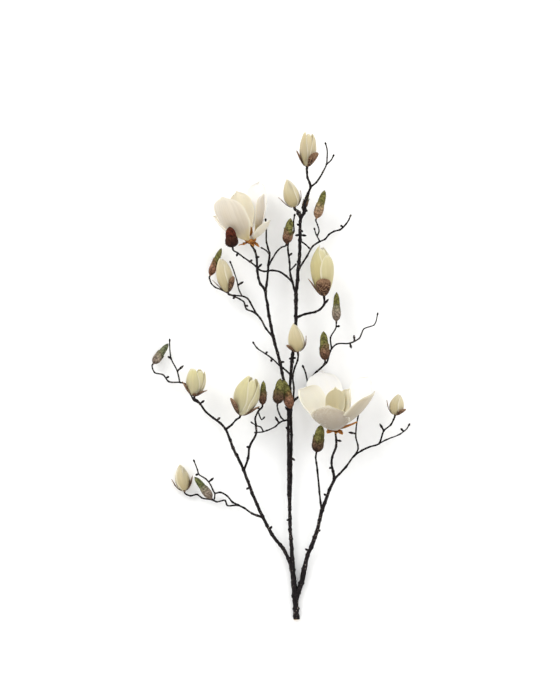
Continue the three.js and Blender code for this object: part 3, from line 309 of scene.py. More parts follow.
class Holder:
    """The place of a flower or bud: its base, its axis and the frame that stands on them."""

    def __init__(self, item):
        self.base = place(*item.base)
        if hasattr(item, "tip"):
            reach = place(*item.tip) - self.base
            self.length = float(np.linalg.norm(reach))
            self.radius = item.width / 2
        else:
            reach = np.array(item.towards, float)
        self.axis = unit(reach)
        front = unit(np.array((0, 0, 1.0)) - self.axis * self.axis[2])
        self.right = np.cross(self.axis, front)
        self.back = -front

    def out(self, local):
        """Places in the flower's frame, moved to the part's frame."""
        return (self.base + local[..., 0:1] * self.right + local[..., 1:2] * self.back
                + local[..., 2:3] * self.axis)

    def up(self, heights):
        """Places on the axis, at heights over the base."""
        return self.base + heights[:, None] * self.axis


HOLDERS = {name: Holder(item) for group in (FLOWERS, BLOOMS, BUDS) for name, item in group.items()}


def number_of(name):
    return int(name.split("_")[1])


# ---------------------------------------------------------------- meshes


REST_GAP = 0.03  # mm between the floor and what rests on it
SETTLED = 0.5  # mm over the floor below which a piece is pressed flat


def above_floor(height):
    """Heights with all that would dip below the floor pressed flat just over it."""
    room = SETTLED - REST_GAP
    pressed = REST_GAP + room * np.exp((np.minimum(height, SETTLED) - SETTLED) / room)
    return np.where(height < SETTLED, pressed, height)


def add_object(name, data):
    made = bpy.data.objects.new(name, data)
    bpy.context.scene.collection.objects.link(made)
    return made


class Shape:
    """Closed surfaces gathered for one mesh, in mm. Each point has a mark: across, along, seed."""

    def __init__(self):
        self.points, self.marks, self.faces = [], [], []
        self.count = 0

    def add(self, points, marks, faces):
        self.points.append(points.reshape(-1, 3))
        self.marks.append(marks.reshape(-1, 3))
        self.faces += (np.asarray(faces) + self.count).tolist()
        self.count += len(self.points[-1])

    def piece(self, node, material, sharp):
        """The object that stands for a CAD node."""
        points = np.concatenate(self.points)
        points[:, 2] = above_floor(points[:, 2])
        mesh = bpy.data.meshes.new(f"{node}_mesh")
        mesh.from_pydata((points * MM).tolist(), [], self.faces)
        marks = mesh.attributes.new("blade", "FLOAT_VECTOR", "POINT")
        marks.data.foreach_set("vector", np.concatenate(self.marks).astype(np.float32).ravel())
        turned = bmesh.new()
        turned.from_mesh(mesh)
        bmesh.ops.recalc_face_normals(turned, faces=turned.faces)
        turned.to_mesh(mesh)
        turned.free()
        mesh.shade_smooth()
        mesh.set_sharp_from_angle(angle=rad(sharp))
        mesh.materials.append(material)
        made = add_object(f"fine_{node}", mesh)
        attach(made, "root")
        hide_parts(node)


def grid_faces(rows, columns, first=0, flip=False):
    """Squares between the points of a grid that is stored row by row."""
    row, column = np.meshgrid(np.arange(rows - 1), np.arange(columns - 1), indexing="ij")
    corner = (first + row * columns + column).ravel()
    faces = np.stack((corner, corner + 1, corner + columns + 1, corner + columns), axis=1)
    return faces[:, ::-1] if flip else faces


def blade(shape, surface, rows, columns, thick, seed, edge=0.4):
    """A thin closed blade about a surface(across, along), thinner towards its edges."""
    along, across = np.meshgrid(np.linspace(0, 1, rows), np.linspace(-1, 1, columns), indexing="ij")
    middle = surface(across, along)
    normal = unit(np.cross(np.gradient(middle, axis=1), np.gradient(middle, axis=0)))
    half = thick / 2 * lerp(1, edge, np.maximum(np.abs(across) ** 3, along ** 6))[..., None]
    points = np.concatenate((middle + normal * half, middle - normal * half))
    marks = np.stack((across, along, np.full_like(along, seed)), axis=-1)
    size = rows * columns
    last = columns - 1
    rim = [row * columns for row in range(rows)]
    rim += [(rows - 1) * columns + column for column in range(1, columns)]
    rim += [row * columns + last for row in range(rows - 2, -1, -1)]
    rim += list(range(last - 1, 0, -1))
    around = np.array(rim)
    after = np.roll(around, -1)
    walls = np.stack((around, after, after + size, around + size), axis=1)
    faces = np.concatenate((grid_faces(rows, columns), grid_faces(rows, columns, size, True), walls))
    shape.add(points, np.concatenate((marks, marks)), faces)


def tube(shape, points, radii, sides, seed):
    """A closed tube along points, with a radius at each of them or at each point of each ring."""
    ahead = unit(np.gradient(points, axis=0))
    across = np.empty_like(points)
    side = np.array((0.0, 0.0, 1.0)) if abs(ahead[0][2]) < 0.9 else np.array((1.0, 0.0, 0.0))
    for index, way in enumerate(ahead):
        side = unit(side - way * side.dot(way))
        across[index] = side
    other = np.cross(ahead, across)
    angle = np.linspace(0, 2 * math.pi, sides, endpoint=False)
    size = np.broadcast_to(np.asarray(radii, float).reshape(len(points), -1), (len(points), sides))
    rings = (points[:, None] + across[:, None] * (size * np.cos(angle))[..., None]
             + other[:, None] * (size * np.sin(angle))[..., None])
    count = len(points) * sides
    ring, turn = np.meshgrid(np.arange(len(points) - 1), np.arange(sides), indexing="ij")
    here = (ring * sides + turn).ravel()
    beyond = (ring * sides + (turn + 1) % sides).ravel()
    walls = np.stack((here, beyond, beyond + sides, here + sides), axis=1).tolist()
    start = [[count, (turn + 1) % sides, turn] for turn in range(sides)]
    low = count - sides
    end = [[count + 1, low + turn, low + (turn + 1) % sides] for turn in range(sides)]
    along = np.linspace(0, 1, len(points))
    marks = np.stack(np.broadcast_arrays(angle[None] / math.pi - 1, along[:, None], seed), axis=-1)
    caps = np.array(((0, 0, seed), (0, 1, seed)), float)
    shape.points.append(np.concatenate((rings.reshape(-1, 3), points[:1], points[-1:])))
    shape.marks.append(np.concatenate((marks.reshape(-1, 3), caps)))
    shape.faces += [[corner + shape.count for corner in face] for face in walls + start + end]
    shape.count += count + 2


def spikes(shape, roots, normals, ways, lengths, width, marks):
    """Fine hairs, each a closed three-sided spike whose foot is sunk in the surface."""
    side = unit(np.cross(normals, ways)) * width / 2
    sunk = roots - normals * width
    feet = (sunk - side, sunk + side, sunk - unit(ways) * width)
    points = np.stack((*feet, roots + ways * lengths[:, None]), axis=1)
    first = np.arange(len(roots))[:, None] * 4
    corners = ((0, 1, 3), (1, 2, 3), (2, 0, 3), (0, 2, 1))
    faces = np.concatenate([first + np.array(face) for face in corners])
    shape.add(points, np.repeat(marks, 4, axis=0), faces)


# ---------------------------------------------------------------- wood

STEP = 1.3  # mm between the rings of a stem
TIP_LENGTH = 6  # the stretch that a resting tip takes
TIP_STEP = 0.5
# How a resting tip or knob ends: mm from its end, and share of the stem's radius there.
TIP_PROFILE = ((0, 0.3), (0.5, 0.9), (1.4, 1.5), (2.6, 1.65), (3.8, 1.35), (4.8, 1.0))
KNOB_PROFILE = ((0, 0.35), (0.6, 1.05), (1.6, 1.5), (3, 1.65), (4.2, 1.35), (5.4, 1.0))
NODE_SWELL = 0.24  # how much a stem swells at each of its bends, and how long the swelling is
NODE_LENGTH = 1.9
ROOT_SWELL = 0.45  # how much a twig swells where it leaves its stem, and how long that is
ROOT_LENGTH = 2.5
BARK_LUMPS = 0.09  # unevenness of the bark, as a share of the radius
COLLAR = 3.5  # length of the swollen end under a flower or bud
COLLAR_SWELL = 1.25  # and how much thicker it is there
NUB_RADII = (2.4, 1.8, 1.5, 1.4, 1.6, 1.9, 2.0, 1.85, 1.5, 1.1, 0.5)  # from its root to its tip
NUB_RISE = 1  # mm from its root up to its tip


def course_line(course):
    """The places of a stem's stops, and its thickness at each of them."""
    points = [place(*stop[:3]) for stop in course]
    sized = [(index, stop[3]) for index, stop in enumerate(course) if len(stop) > 3]
    sizes = np.interp(range(len(course)), *zip(*sized))
    return points, list(sizes)


def smooth(points, sizes, finish):
    """Rings' centres and radii along a curve through the points, closer together at its end."""
    points = np.array(points)
    gaps = np.linalg.norm(np.diff(points, axis=0), axis=1)
    at = np.concatenate(((0,), np.cumsum(gaps)))
    ways = np.gradient(points, at, axis=0) * 0.85
    ways[0] = (points[1] - points[0]) / gaps[0]
    ways[-1] = (points[-1] - points[-2]) / gaps[-1]
    total = at[-1]
    places = np.arange(0, total - finish, STEP)
    if finish:
        places = np.concatenate((places, np.arange(total - finish, total, TIP_STEP)))
    places = np.append(places, total)
    index = np.clip(np.searchsorted(at, places, side="right") - 1, 0, len(gaps) - 1)
    part = ((places - at[index]) / gaps[index])[:, None]
    start, end = points[index], points[index + 1]
    leave, arrive = ways[index] * gaps[index, None], ways[index + 1] * gaps[index, None]
    line = (start * (1 + 2 * part) * (1 - part) ** 2 + leave * part * (1 - part) ** 2
            + end * part ** 2 * (3 - 2 * part) + arrive * part ** 2 * (part - 1))
    return line, np.interp(places, at, sizes) / 2, places, at


def stem(shape, seed, ends, course, *nubs):
    points, sizes = course_line(course)
    plain = np.array(points)
    for number, mark in enumerate(nubs):
        nub(shape, plain, mark, seed * 20 + number)
    if ends in HOLDERS:
        holder = HOLDERS[ends]
        points += [holder.base - holder.axis * COLLAR, holder.base - holder.axis * GAP]
        sizes += [sizes[-1], sizes[-1] * COLLAR_SWELL]
    resting = ends not in HOLDERS
    line, radii, places, bends = smooth(points, sizes, TIP_LENGTH if resting else 0)
    if resting:
        profile = np.array(TIP_PROFILE if ends == "tip" else KNOB_PROFILE)
        radii = radii * np.interp(places[-1] - places, profile[:, 0], profile[:, 1])
    inner = bends[1:-1]
    near = np.abs(places[:, None] - inner[None]).min(axis=1) if len(inner) else np.full(len(places), 9)
    radii = radii * (1 + NODE_SWELL * np.exp(-(near / NODE_LENGTH) ** 2))
    if seed:
        radii = radii * (1 + ROOT_SWELL * np.exp(-places / ROOT_LENGTH))
    sides = 12 if radii.max() > 2 else 9
    angle = np.linspace(0, 2 * math.pi, sides, endpoint=False)
    lumps = waves(seed, 6, 0.6, 2.2)
    rough = 1 + BARK_LUMPS * lumps(places[:, None], angle[None])
    tube(shape, line, radii[:, None] * rough, sides, seed)


def nub(shape, points, mark, seed):
    """A short side shoot with a blunt resting bud, out from the nearest point of its stem."""
    end = place(*mark, 0)
    middles = (points[1:] + points[:-1]) / 2
    roots = np.concatenate((points, middles))
    root = roots[np.argmin(np.hypot(*(roots[:, :2] - end[:2]).T))]
    end[2] = root[2] + NUB_RISE
    tube(shape, np.linspace(root, end, len(NUB_RADII)), NUB_RADII, sides=8, seed=seed)


def make_wood():
    shape = Shape()
    for seed, entry in enumerate(STEMS):
        stem(shape, seed, *entry)
    shape.piece("wood", bark_material(), sharp=60)


# ---------------------------------------------------------------- petals

TIP_RADIUS = 0.05  # share of the radius left at a closed tip
FOOT_SWELL = 0.55  # power of the curve of a flower's foot: less is rounder
WIDEST = 0.6  # where an open petal is widest, as a share of its length
FOOT_WIDTH = 0.13  # width of a petal's foot, as a share of its widest
FOOT_CURVE = 1.5  # how hollow a petal's sides are towards its foot
TIP_CURVE = 3.8  # how blunt a petal's end is
PETAL_SEAT = 4  # height at which a bloom's petals leave its receptacle
PETAL_ROOT = 3.6  # and their radius there
PETAL_THICK = 0.9
LINE_STEPS = 60  # short straight steps in a petal's middle line
# Layers of three petals round a closed flower, outermost first: azimuth from the first petal, share
# of the radius, how much shorter, share of the open top, half-angle, twist, where its sides start to
# draw in, and how blunt it ends.
CLOSED_LAYERS = ((0, 1.0, 0.0, 1, 72, 22, 0.45, 2.2), (60, 0.92, 0.02, 0.6, 70, 22, 0.45, 2.2),
                 (0, 0.84, 0.035, 0, 72, 22, 0.45, 2.2))
FREE_LAYERS = ((0, 1.0, 0.0, 1, 54, 4, 0.3, 1.5), (60, 0.93, 0.02, 0.8, 56, 6, 0.3, 1.5),
               (20, 0.78, 0.1, 0, 72, 20, 0.5, 2.2))
WRAPPED_WHITES = (0.05, 0.35, 0.2)  # how white the petals of a closed flower are


def outline(v, wide, top):
    """Share of a flower's radius at v along it: it swells to its widest place, then draws in."""
    swelling = np.sin(math.pi / 2 * np.clip(v / wide, 0, 1)) ** FOOT_SWELL
    past = np.clip((v - wide) / (1 - wide), 0, 1)
    closing = np.maximum(lerp(top, 1, np.cos(math.pi / 2 * past) ** 0.9), TIP_RADIUS)
    return np.where(v < wide, swelling, closing)


def wrapped_petal(shape, holder, form, azimuth, half, share, length, twist, taper, blunt, seed):
    """A petal wrapped round a closed flower, its free edge standing off the next one."""
    start = (CUP_FLOOR + GAP) / holder.length
    sway = waves(int(seed), 4, 2.5, 5)

    def surface(u, v):
        at = lerp(start, length, v)
        past = np.maximum(v - taper, 0) / (1 - taper)
        narrow = np.sqrt(np.maximum(1 - 0.95 * past ** blunt, 0))
        widen = lerp(0.8, 1, np.minimum(v / 0.3, 1))
        turned = azimuth + twist * v + half * narrow * widen * u + 2.5 * sway(u, v) * v
        radius = holder.radius * share * outline(at, *form)
        lift = CLOSED_LIFT * (0.5 + 0.5 * u) * np.minimum(radius / 5, 1)
        crease = -0.35 * np.exp(-(u / 0.12) ** 2) * np.minimum(radius / 5, 1)
        wave = 0.3 * sway(u * 2, v) * v
        return holder.out(polar(turned, radius + lift + crease + wave, holder.length * at))

    blade(shape, surface, 30, 17, PETAL_THICK, seed)


def flower_petals(name):
    item, holder = FLOWERS[name], HOLDERS[name]
    shape = Shape()
    seed = 100 * number_of(name)
    for depth, (offset, share, shorter, left, half, twist, taper, blunt) in enumerate(
            FREE_LAYERS if item.free else CLOSED_LAYERS):
        for order, paleness_and_painted_light in enumerate(WRAPPED_WHITES):
            azimuth = item.turn + offset + 120 * order
            drop = item.step * order if depth == 0 else 0.02 * order
            wrapped_petal(shape, holder, (item.wide, item.top * left), azimuth, half, share,
                          1 - shorter - drop, twist, taper, blunt, seed + 10 * depth + order + paleness_and_painted_light)
    heights = np.linspace(CUP_FLOOR + GAP, 0.8 * holder.length, 14)
    core = 0.6 * holder.radius * np.maximum(outline(heights / holder.length, item.wide, 0), 0.1)
    tube(shape, holder.up(heights), core, sides=16, seed=seed)
    shape.piece(f"{name}_petals", petal_materials[item.tint], sharp=75)


def open_petal(shape, holder, entry, seed):
    """A free petal: a middle line that leans out from the axis, and a cupped section about it."""
    azimuth, length, width, lean0, lean1, lean2, curl0, curl1, *sweep = entry
    sweep = sum(sweep)

    def lean_at(v):
        return rad(lean0 * (1 - v) * (1 - 2 * v) + lean1 * 4 * v * (1 - v) + lean2 * v * (2 * v - 1))

    stride = length / LINE_STEPS
    leans = lean_at((np.arange(LINE_STEPS) + 0.5) / LINE_STEPS)
    stops = np.linspace(0, 1, LINE_STEPS + 1)
    line_out = PETAL_ROOT + np.concatenate(((0,), np.cumsum(stride * np.sin(leans))))
    line_up = PETAL_SEAT + np.concatenate(((0,), np.cumsum(stride * np.cos(leans))))
    sway = waves(int(seed), 5, 1.6, 3.4)
    ruffle = waves(int(seed) + 7, 4, 1.0, 16)

    def surface(u, v):
        before = lerp(FOOT_WIDTH, 1, np.sin(math.pi / 2 * np.minimum(v / WIDEST, 1)) ** FOOT_CURVE)
        past = np.maximum(v - WIDEST, 0) / (1 - WIDEST)
        half = before * np.sqrt(np.maximum(1 - 0.985 * past ** TIP_CURVE, 0))
        half = half * (1 + 0.04 * sway(0, 3 * v) * v)
        curl = rad(lerp(curl0, curl1, v))
        bend = width / 2 * half / curl
        reach = v - 0.035 * np.abs(u) ** 2 * v ** 3
        lean = lean_at(reach)
        inward = bend * (1 - np.cos(curl * u))
        relief = 1.1 * sway(u, v) * v + 0.8 * ruffle(u, v) * np.abs(u) ** 4 * v
        relief = relief - 0.5 * np.exp(-(u / 0.1) ** 2) * (1 - v)
        lip = 2.2 * np.maximum(v - 0.86, 0) / 0.14 * np.cos(u * 1.4) ** 2
        out = np.interp(reach, stops, line_out) - (inward - relief - lip) * np.cos(lean)
        up = np.interp(reach, stops, line_up) + (inward - relief - lip) * np.sin(lean)
        side = bend * np.sin(curl * u) + sweep * reach ** 1.5
        return holder.out(beside(azimuth, out, side, up))

    blade(shape, surface, 44, 29, PETAL_THICK, seed, edge=0.45)


def bloom_petals(name):
    holder = HOLDERS[name]
    shape = Shape()
    seed = 40 * number_of(name)
    # Each petal's whiteness rides on its seed mark and paints that petal's light and shade.
    for order, (entry, paleness_and_painted_light) in enumerate(zip(BLOOMS[name].petals, BLOOMS[name].whites)):
        open_petal(shape, holder, entry, seed + order + paleness_and_painted_light)
    heights = np.array((CUP_FLOOR + GAP, 3, 4.5, 6.5, 8.5, 11))
    tube(shape, holder.up(heights), (2.6, 4.6, 5.3, 4.8, 4.0, 2.6), sides=20, seed=seed)
    shape.piece(f"{name}_petals", petal_materials[name], sharp=75)


# ---------------------------------------------------------------- bracts and scales

BRACT_THICK = 0.6
LEAST_BRACT = 28  # half-angle that the narrowest bract covers
BLOOM_CUP = 4.6  # radius of the shallow cup under a bloom
BRACT_HAIRS = 260
SCALE_HAIRS = 700
BLADE_HAIR = 2.5  # mm that their hairs reach
BLADE_HAIR_WIDTH = 0.18


def foot_disc(shape, holder, radius, height, seed):
    """The solid foot that bracts or bud scales grow from."""
    heights = np.array((-0.6, 0, 0.5, 0.8, 1)) * height
    radii = np.array((0.6, 0.85, 1, 0.95, 0.7)) * radius
    tube(shape, holder.up(heights), radii, sides=14, seed=seed)


def hairs_on(shape, points, normals, ways, count, reach, width, mark, seed):
    """Hairs at random places of a grid of surface points, laid mostly along the given ways."""
    draw = np.random.default_rng(seed)
    rows, columns = points.shape[:2]
    row, column = draw.uniform(0, rows - 1.001, count), draw.uniform(0, columns - 1.001, count)
    low, left = row.astype(int), column.astype(int)
    down, over = (row - low)[:, None], (column - left)[:, None]

    def between(grid):
        top = lerp(grid[low, left], grid[low, left + 1], over)
        return lerp(top, lerp(grid[low + 1, left], grid[low + 1, left + 1], over), down)

    root, normal, way = between(points), unit(between(normals)), unit(between(ways))
    stray = draw.normal(0, 0.22, (count, 3))
    lift = draw.uniform(0.25, 0.6, (count, 1))
    leaning = unit(way + normal * lift + stray)
    lengths = reach * draw.uniform(0.6, 1.25, count)
    along = lerp(mark[0], mark[1], row / (rows - 1))
    marks = np.stack((np.zeros(count), along, np.ones(count)), axis=1)
    spikes(shape, root, normal, leaning, lengths, width, marks)


def clasping_blade(shape, holder, azimuth, half, reach, radius_at, flare, seed, hairs):
    """A bract or bud scale that grows from the foot, clasps what it holds and ends in a point."""
    sway = waves(seed, 5, 3, 6)

    def surface(u, v):
        height = lerp(0.2, holder.length * reach, v)
        narrow = np.sqrt(np.maximum(1 - 0.985 * v ** 2.6, 0)) * (1 + 0.05 * sway(0, v))
        turned = azimuth + half * narrow * u
        clasp = radius_at(height / holder.length) + flare * v ** 2.4
        curl = 0.5 * np.abs(u) ** 3 * v
        return holder.out(polar(turned, clasp + curl + 0.25 * sway(u, v) * v, height))

    blade(shape, surface, 18, 15, BRACT_THICK, seed)
    along, across = np.meshgrid(np.linspace(0.05, 1, 18), np.linspace(-1, 1, 15), indexing="ij")
    points = surface(across, along)
    from_base = points - holder.base
    normals = unit(from_base - (from_base @ holder.axis)[..., None] * holder.axis)
    ways = np.gradient(points, axis=0)
    hairs_on(shape, points + normals * 0.25, normals, ways, hairs, BLADE_HAIR, BLADE_HAIR_WIDTH,
             (0.2, 1), seed + 1)


def flower_bracts(name):
    item, holder = FLOWERS[name], HOLDERS[name]
    shape = Shape()
    seed = 1000 + 10 * number_of(name)
    foot_disc(shape, holder, radius=2.6, height=2.4, seed=seed)

    def radius_at(v):
        radius = holder.radius * outline(np.maximum(v, 0.001), item.wide, item.top)
        return radius * CLASP + CLOSED_LIFT + CLEARANCE

    for order, (azimuth, reach, width, flare) in enumerate(item.bracts):
        half = max(LEAST_BRACT, 0.75 * width / rad(holder.radius))
        clasping_blade(shape, holder, azimuth, half, reach, radius_at,
                       holder.radius * flare, seed + order, BRACT_HAIRS)
    shape.piece(f"{name}_bracts", flower_bract, sharp=75)


def bloom_bracts(name):
    holder = HOLDERS[name]
    shape = Shape()
    seed = 1200 + 10 * number_of(name)
    heights = np.array((-0.6, 0.4, 1.2, 1.8, 1.5, 1.3))
    tube(shape, holder.up(heights), (2.0, 4.2, 5.2, 5.4, 4.4, 2.4), sides=20, seed=seed)
    straps = [(*strap, 0) for strap in BLOOMS[name].bracts]
    # a smaller flap beside each short strap, and five that hug the petals' feet
    straps += [(azimuth + 34, 0.6 * length, width, lean0, lean1, 0.8)
               for azimuth, length, width, lean0, lean1 in BLOOMS[name].bracts if length < 20]
    straps += [(azimuth, 12, 12, 55, 20, 2.6) for azimuth in range(20, 380, 72)]
    for order, (azimuth, length, width, lean0, lean1, low) in enumerate(straps):
        sway = waves(seed + order, 5, 3, 8)

        def surface(u, v):
            lean = rad(lerp(lean0, lean1, v / 2))
            out = BLOOM_CUP * 0.7 + length * v * np.sin(lean)
            half = width / 2 * np.sin(math.pi * (0.22 + 0.75 * v)) * (1 + 0.12 * sway(u, 2 * v))
            up = CUP_FLOOR * 0.5 - low + length * v * np.cos(lean) + 1.4 * u * u + 0.9 * sway(u, v) * v
            return holder.out(beside(azimuth, out, half * u, up))

        blade(shape, surface, 20, 11, BRACT_THICK, seed + order)
    shape.piece(f"{name}_bracts", bloom_bract, sharp=75)


# ---------------------------------------------------------------- stamens and carpels

CONE_SEAT = 11.3  # height of the cone's foot above a bloom's base
GOLDEN = 137.508  # azimuth from each stamen or carpel to the next
STAMENS = 78
CARPELS = 46
CARPEL_RADII = (0.62, 0.66, 0.5, 0.34, 0.24, 0.12)  # from its foot to its tip


def bloom_cone(name):
    holder = HOLDERS[name]
    shape = Shape()
    seed = 1300 + number_of(name)
    draw = np.random.default_rng(seed)
    heights = np.linspace(0, 20, 12)
    core = np.interp(heights, (0, 2, 8, 12, 18, 20), (2.6, 3.2, 3.0, 2.4, 1.3, 0.4))
    tube(shape, holder.up(CONE_SEAT + heights), core, sides=14, seed=seed)
    for number in range(STAMENS):
        azimuth = GOLDEN * number + draw.normal(0, 4)
        height = 0.4 + 7 * number / STAMENS
        size = draw.uniform(0.85, 1.1)

        def stamen(u, v):
            out = 2.6 + 2.3 * size * np.sin(2.2 * v) + 0.35 * v
            up = CONE_SEAT + height + 6.5 * size * v
            half = 0.62 * np.sqrt(np.maximum(1 - 0.96 * (2 * v - 1) ** 4, 0)) * lerp(1, 0.7, v)
            return holder.out(beside(azimuth, out, half * u, up))

        blade(shape, stamen, 7, 3, 0.45, 0.1, edge=0.7)
    for number in range(CARPELS):
        height = 8.2 + 10.5 * number / CARPELS
        root = np.interp(height, (8, 12, 18, 20), (3.0, 2.4, 1.3, 0.6))
        bow = np.linspace(0, 1, len(CARPEL_RADII))
        line = polar(GOLDEN * number, root + 1.5 * np.sin(2.6 * bow), CONE_SEAT + height + 2.6 * bow)
        tube(shape, holder.out(line), CARPEL_RADII, sides=6, seed=0.9)
    shape.piece(f"{name}_cone", cone_materials[name], sharp=60)


# ---------------------------------------------------------------- furry buds

BUD_TIP = 0.15  # share of the radius left at the tip
COAT = 0.5  # how far the body lies under its fur
FUR_HAIRS = 2400
FUR_LENGTH = 1.7
FUR_WIDTH = 0.2
SCALES = ((0, 0.61), (180, 0.51))  # azimuth from the longer scale, and reach as a share of the bud
SCALE_HALF = 98  # half-angle that a scale covers


def bud_outline(v):
    """Share of a bud's radius at v along it: full at a quarter, then slimmer up to a round tip."""
    swelling = np.sin(2 * math.pi * np.minimum(v, 0.25)) ** 0.5
    slim = lerp(1, 0.8, np.maximum(v - 0.25, 0) / 0.75)
    return np.maximum(swelling * slim * np.sqrt(1 - np.maximum(2 * v - 1, 0) ** 3.6), BUD_TIP)


def bud_fur(name):
    item, holder = BUDS[name], HOLDERS[name]
    shape = Shape()
    seed = 2000 + 10 * number_of(name)
    start = (CUP_FLOOR + GAP) / holder.length
    along = np.concatenate((np.linspace(start, 0.94, 22), (0.965, 0.985, 1.0)))
    azimuths = np.linspace(0, 360, 17)
    lumps = waves(seed, 5, 0.05, 6)
    size = np.maximum(holder.radius * bud_outline(along) - COAT, 0.3)
    ridge = 1 + 0.03 * np.cos(3 * rad(azimuths[None] - item.turn)) + 0.02 * lumps(0, along[:, None])
    points = holder.out(polar(azimuths[None], size[:, None] * ridge, holder.length * along[:, None]))
    middle = holder.up(holder.length * along)
    tube(shape, middle, size[:, None] * ridge[:, :-1], sides=16, seed=seed)
    normals = unit(points - middle[:, None] + 0.25 * holder.axis)
    ways = np.gradient(points, axis=0)
    hairs_on(shape, points, normals, ways, FUR_HAIRS, FUR_LENGTH, FUR_WIDTH, (start, 1.0), seed + 1)
    shape.piece(f"{name}_fur", fur_materials[item.fur], sharp=60)


def bud_scales(name):
    item, holder = BUDS[name], HOLDERS[name]
    shape = Shape()
    seed = 3000 + 10 * number_of(name)
    foot_disc(shape, holder, radius=2.2, height=2.2, seed=seed)

    def radius_at(v):
        return holder.radius * bud_outline(np.maximum(v, 0.001)) + 0.1

    for order, (turn, reach) in enumerate(SCALES):
        clasping_blade(shape, holder, item.turn + turn, SCALE_HALF, reach, radius_at, 0.2,
                       seed + order, SCALE_HAIRS)
    shape.piece(f"{name}_scales", scale_materials[item.scales], sharp=75)


# ---------------------------------------------------------------- materials


def colour(code):
    """The linear colour of a hex code."""
    parts = [int(code[index:index + 2], 16) / 255 for index in (1, 3, 5)]
    return (*[part / 12.92 if part <= 0.04045 else ((part + 0.055) / 1.055) ** 2.4 for part in parts], 1)


class Surface:
    """A procedural material, built up node by node."""

    def __init__(self, name, **settings):
        self.material = bpy.data.materials.new(name)
        self.material.use_nodes = True
        self.tree = self.material.node_tree
        self.tree.nodes.clear()
        self.shader = self.node("ShaderNodeBsdfPrincipled")
        self.join(self.shader.outputs["BSDF"], self.node("ShaderNodeOutputMaterial").inputs["Surface"])
        for socket, value in settings.items():
            self.shader.inputs[socket.replace("_", " ")].default_value = value
        self.object = self.node("ShaderNodeTexCoord").outputs["Object"]
        mark = self.node("ShaderNodeAttribute")
        mark.attribute_name = "blade"
        self.mark = mark.outputs["Vector"]
        split = self.node("ShaderNodeSeparateXYZ")
        self.join(self.mark, split.inputs["Vector"])
        self.across, self.along, self.seed = (split.outputs[axis] for axis in "XYZ")

    def node(self, kind, **values):
        made = self.tree.nodes.new(kind)
        for socket, value in values.items():
            made.inputs[socket].default_value = value
        return made

    def join(self, start, end):
        self.tree.links.new(start, end)

    def feed(self, made, values):
        """Sets a node's sockets, by number, to a value or to what another node puts out."""
        for index, value in values:
            if isinstance(value, bpy.types.NodeSocket):
                self.join(value, made.inputs[index])
            else:
                made.inputs[index].default_value = value

    def stretched(self, across, along):
        """The blade's own coordinates, scaled so that noise in them runs along it as veins."""
        scaled = self.node("ShaderNodeVectorMath")
        scaled.operation = "MULTIPLY"
        self.join(self.mark, scaled.inputs[0])
        scaled.inputs[1].default_value = (across, along, 3.7)
        return scaled.outputs["Vector"]

    def noise(self, where, scale, detail=3.0, rough=0.55):
        made = self.node("ShaderNodeTexNoise", Scale=scale, Detail=detail, Roughness=rough)
        self.join(where, made.inputs["Vector"])
        return made.outputs["Fac"]

    def ramp(self, factor, stops):
        """Colours (or greys) along a factor."""
        made = self.node("ShaderNodeValToRGB")
        elements = made.color_ramp.elements
        while len(elements) < len(stops):
            elements.new(0.5)
        for element, (position, value) in zip(elements, stops):
            element.position = position
            element.color = colour(value) if isinstance(value, str) else (value, value, value, 1)
        self.join(factor, made.inputs["Fac"])
        return made.outputs["Color"]

    def blend(self, factor, low, high, kind="MIX"):
        made = self.node("ShaderNodeMix")
        made.data_type = "RGBA"
        made.blend_type = kind
        self.feed(made, ((0, factor), (6, low), (7, high)))
        return made.outputs[2]

    def combine(self, operation, first, second):
        made = self.node("ShaderNodeMath")
        made.operation = operation
        self.feed(made, ((0, first), (1, second)))
        return made.outputs["Value"]

    def strayed(self, noise, amount):
        """How far along the blade, moved to and fro by a noise."""
        moved = self.combine("MULTIPLY", self.combine("SUBTRACT", noise, 0.5), amount)
        return self.combine("ADD", self.along, moved)

    def finish(self, tint, height, distance, strength=0.6, rough=None):
        self.join(tint, self.shader.inputs["Base Color"])
        bump = self.node("ShaderNodeBump", Strength=strength, Distance=distance)
        self.join(height, bump.inputs["Height"])
        self.join(bump.outputs["Normal"], self.shader.inputs["Normal"])
        if rough is not None:
            self.join(rough, self.shader.inputs["Roughness"])
        return self.material


# Painted highlight: a paler colour laid along each petal's sides and end, where the rolled rim catches the
# light.
PETAL_EDGE_HIGHLIGHT = "#ddd6c2"


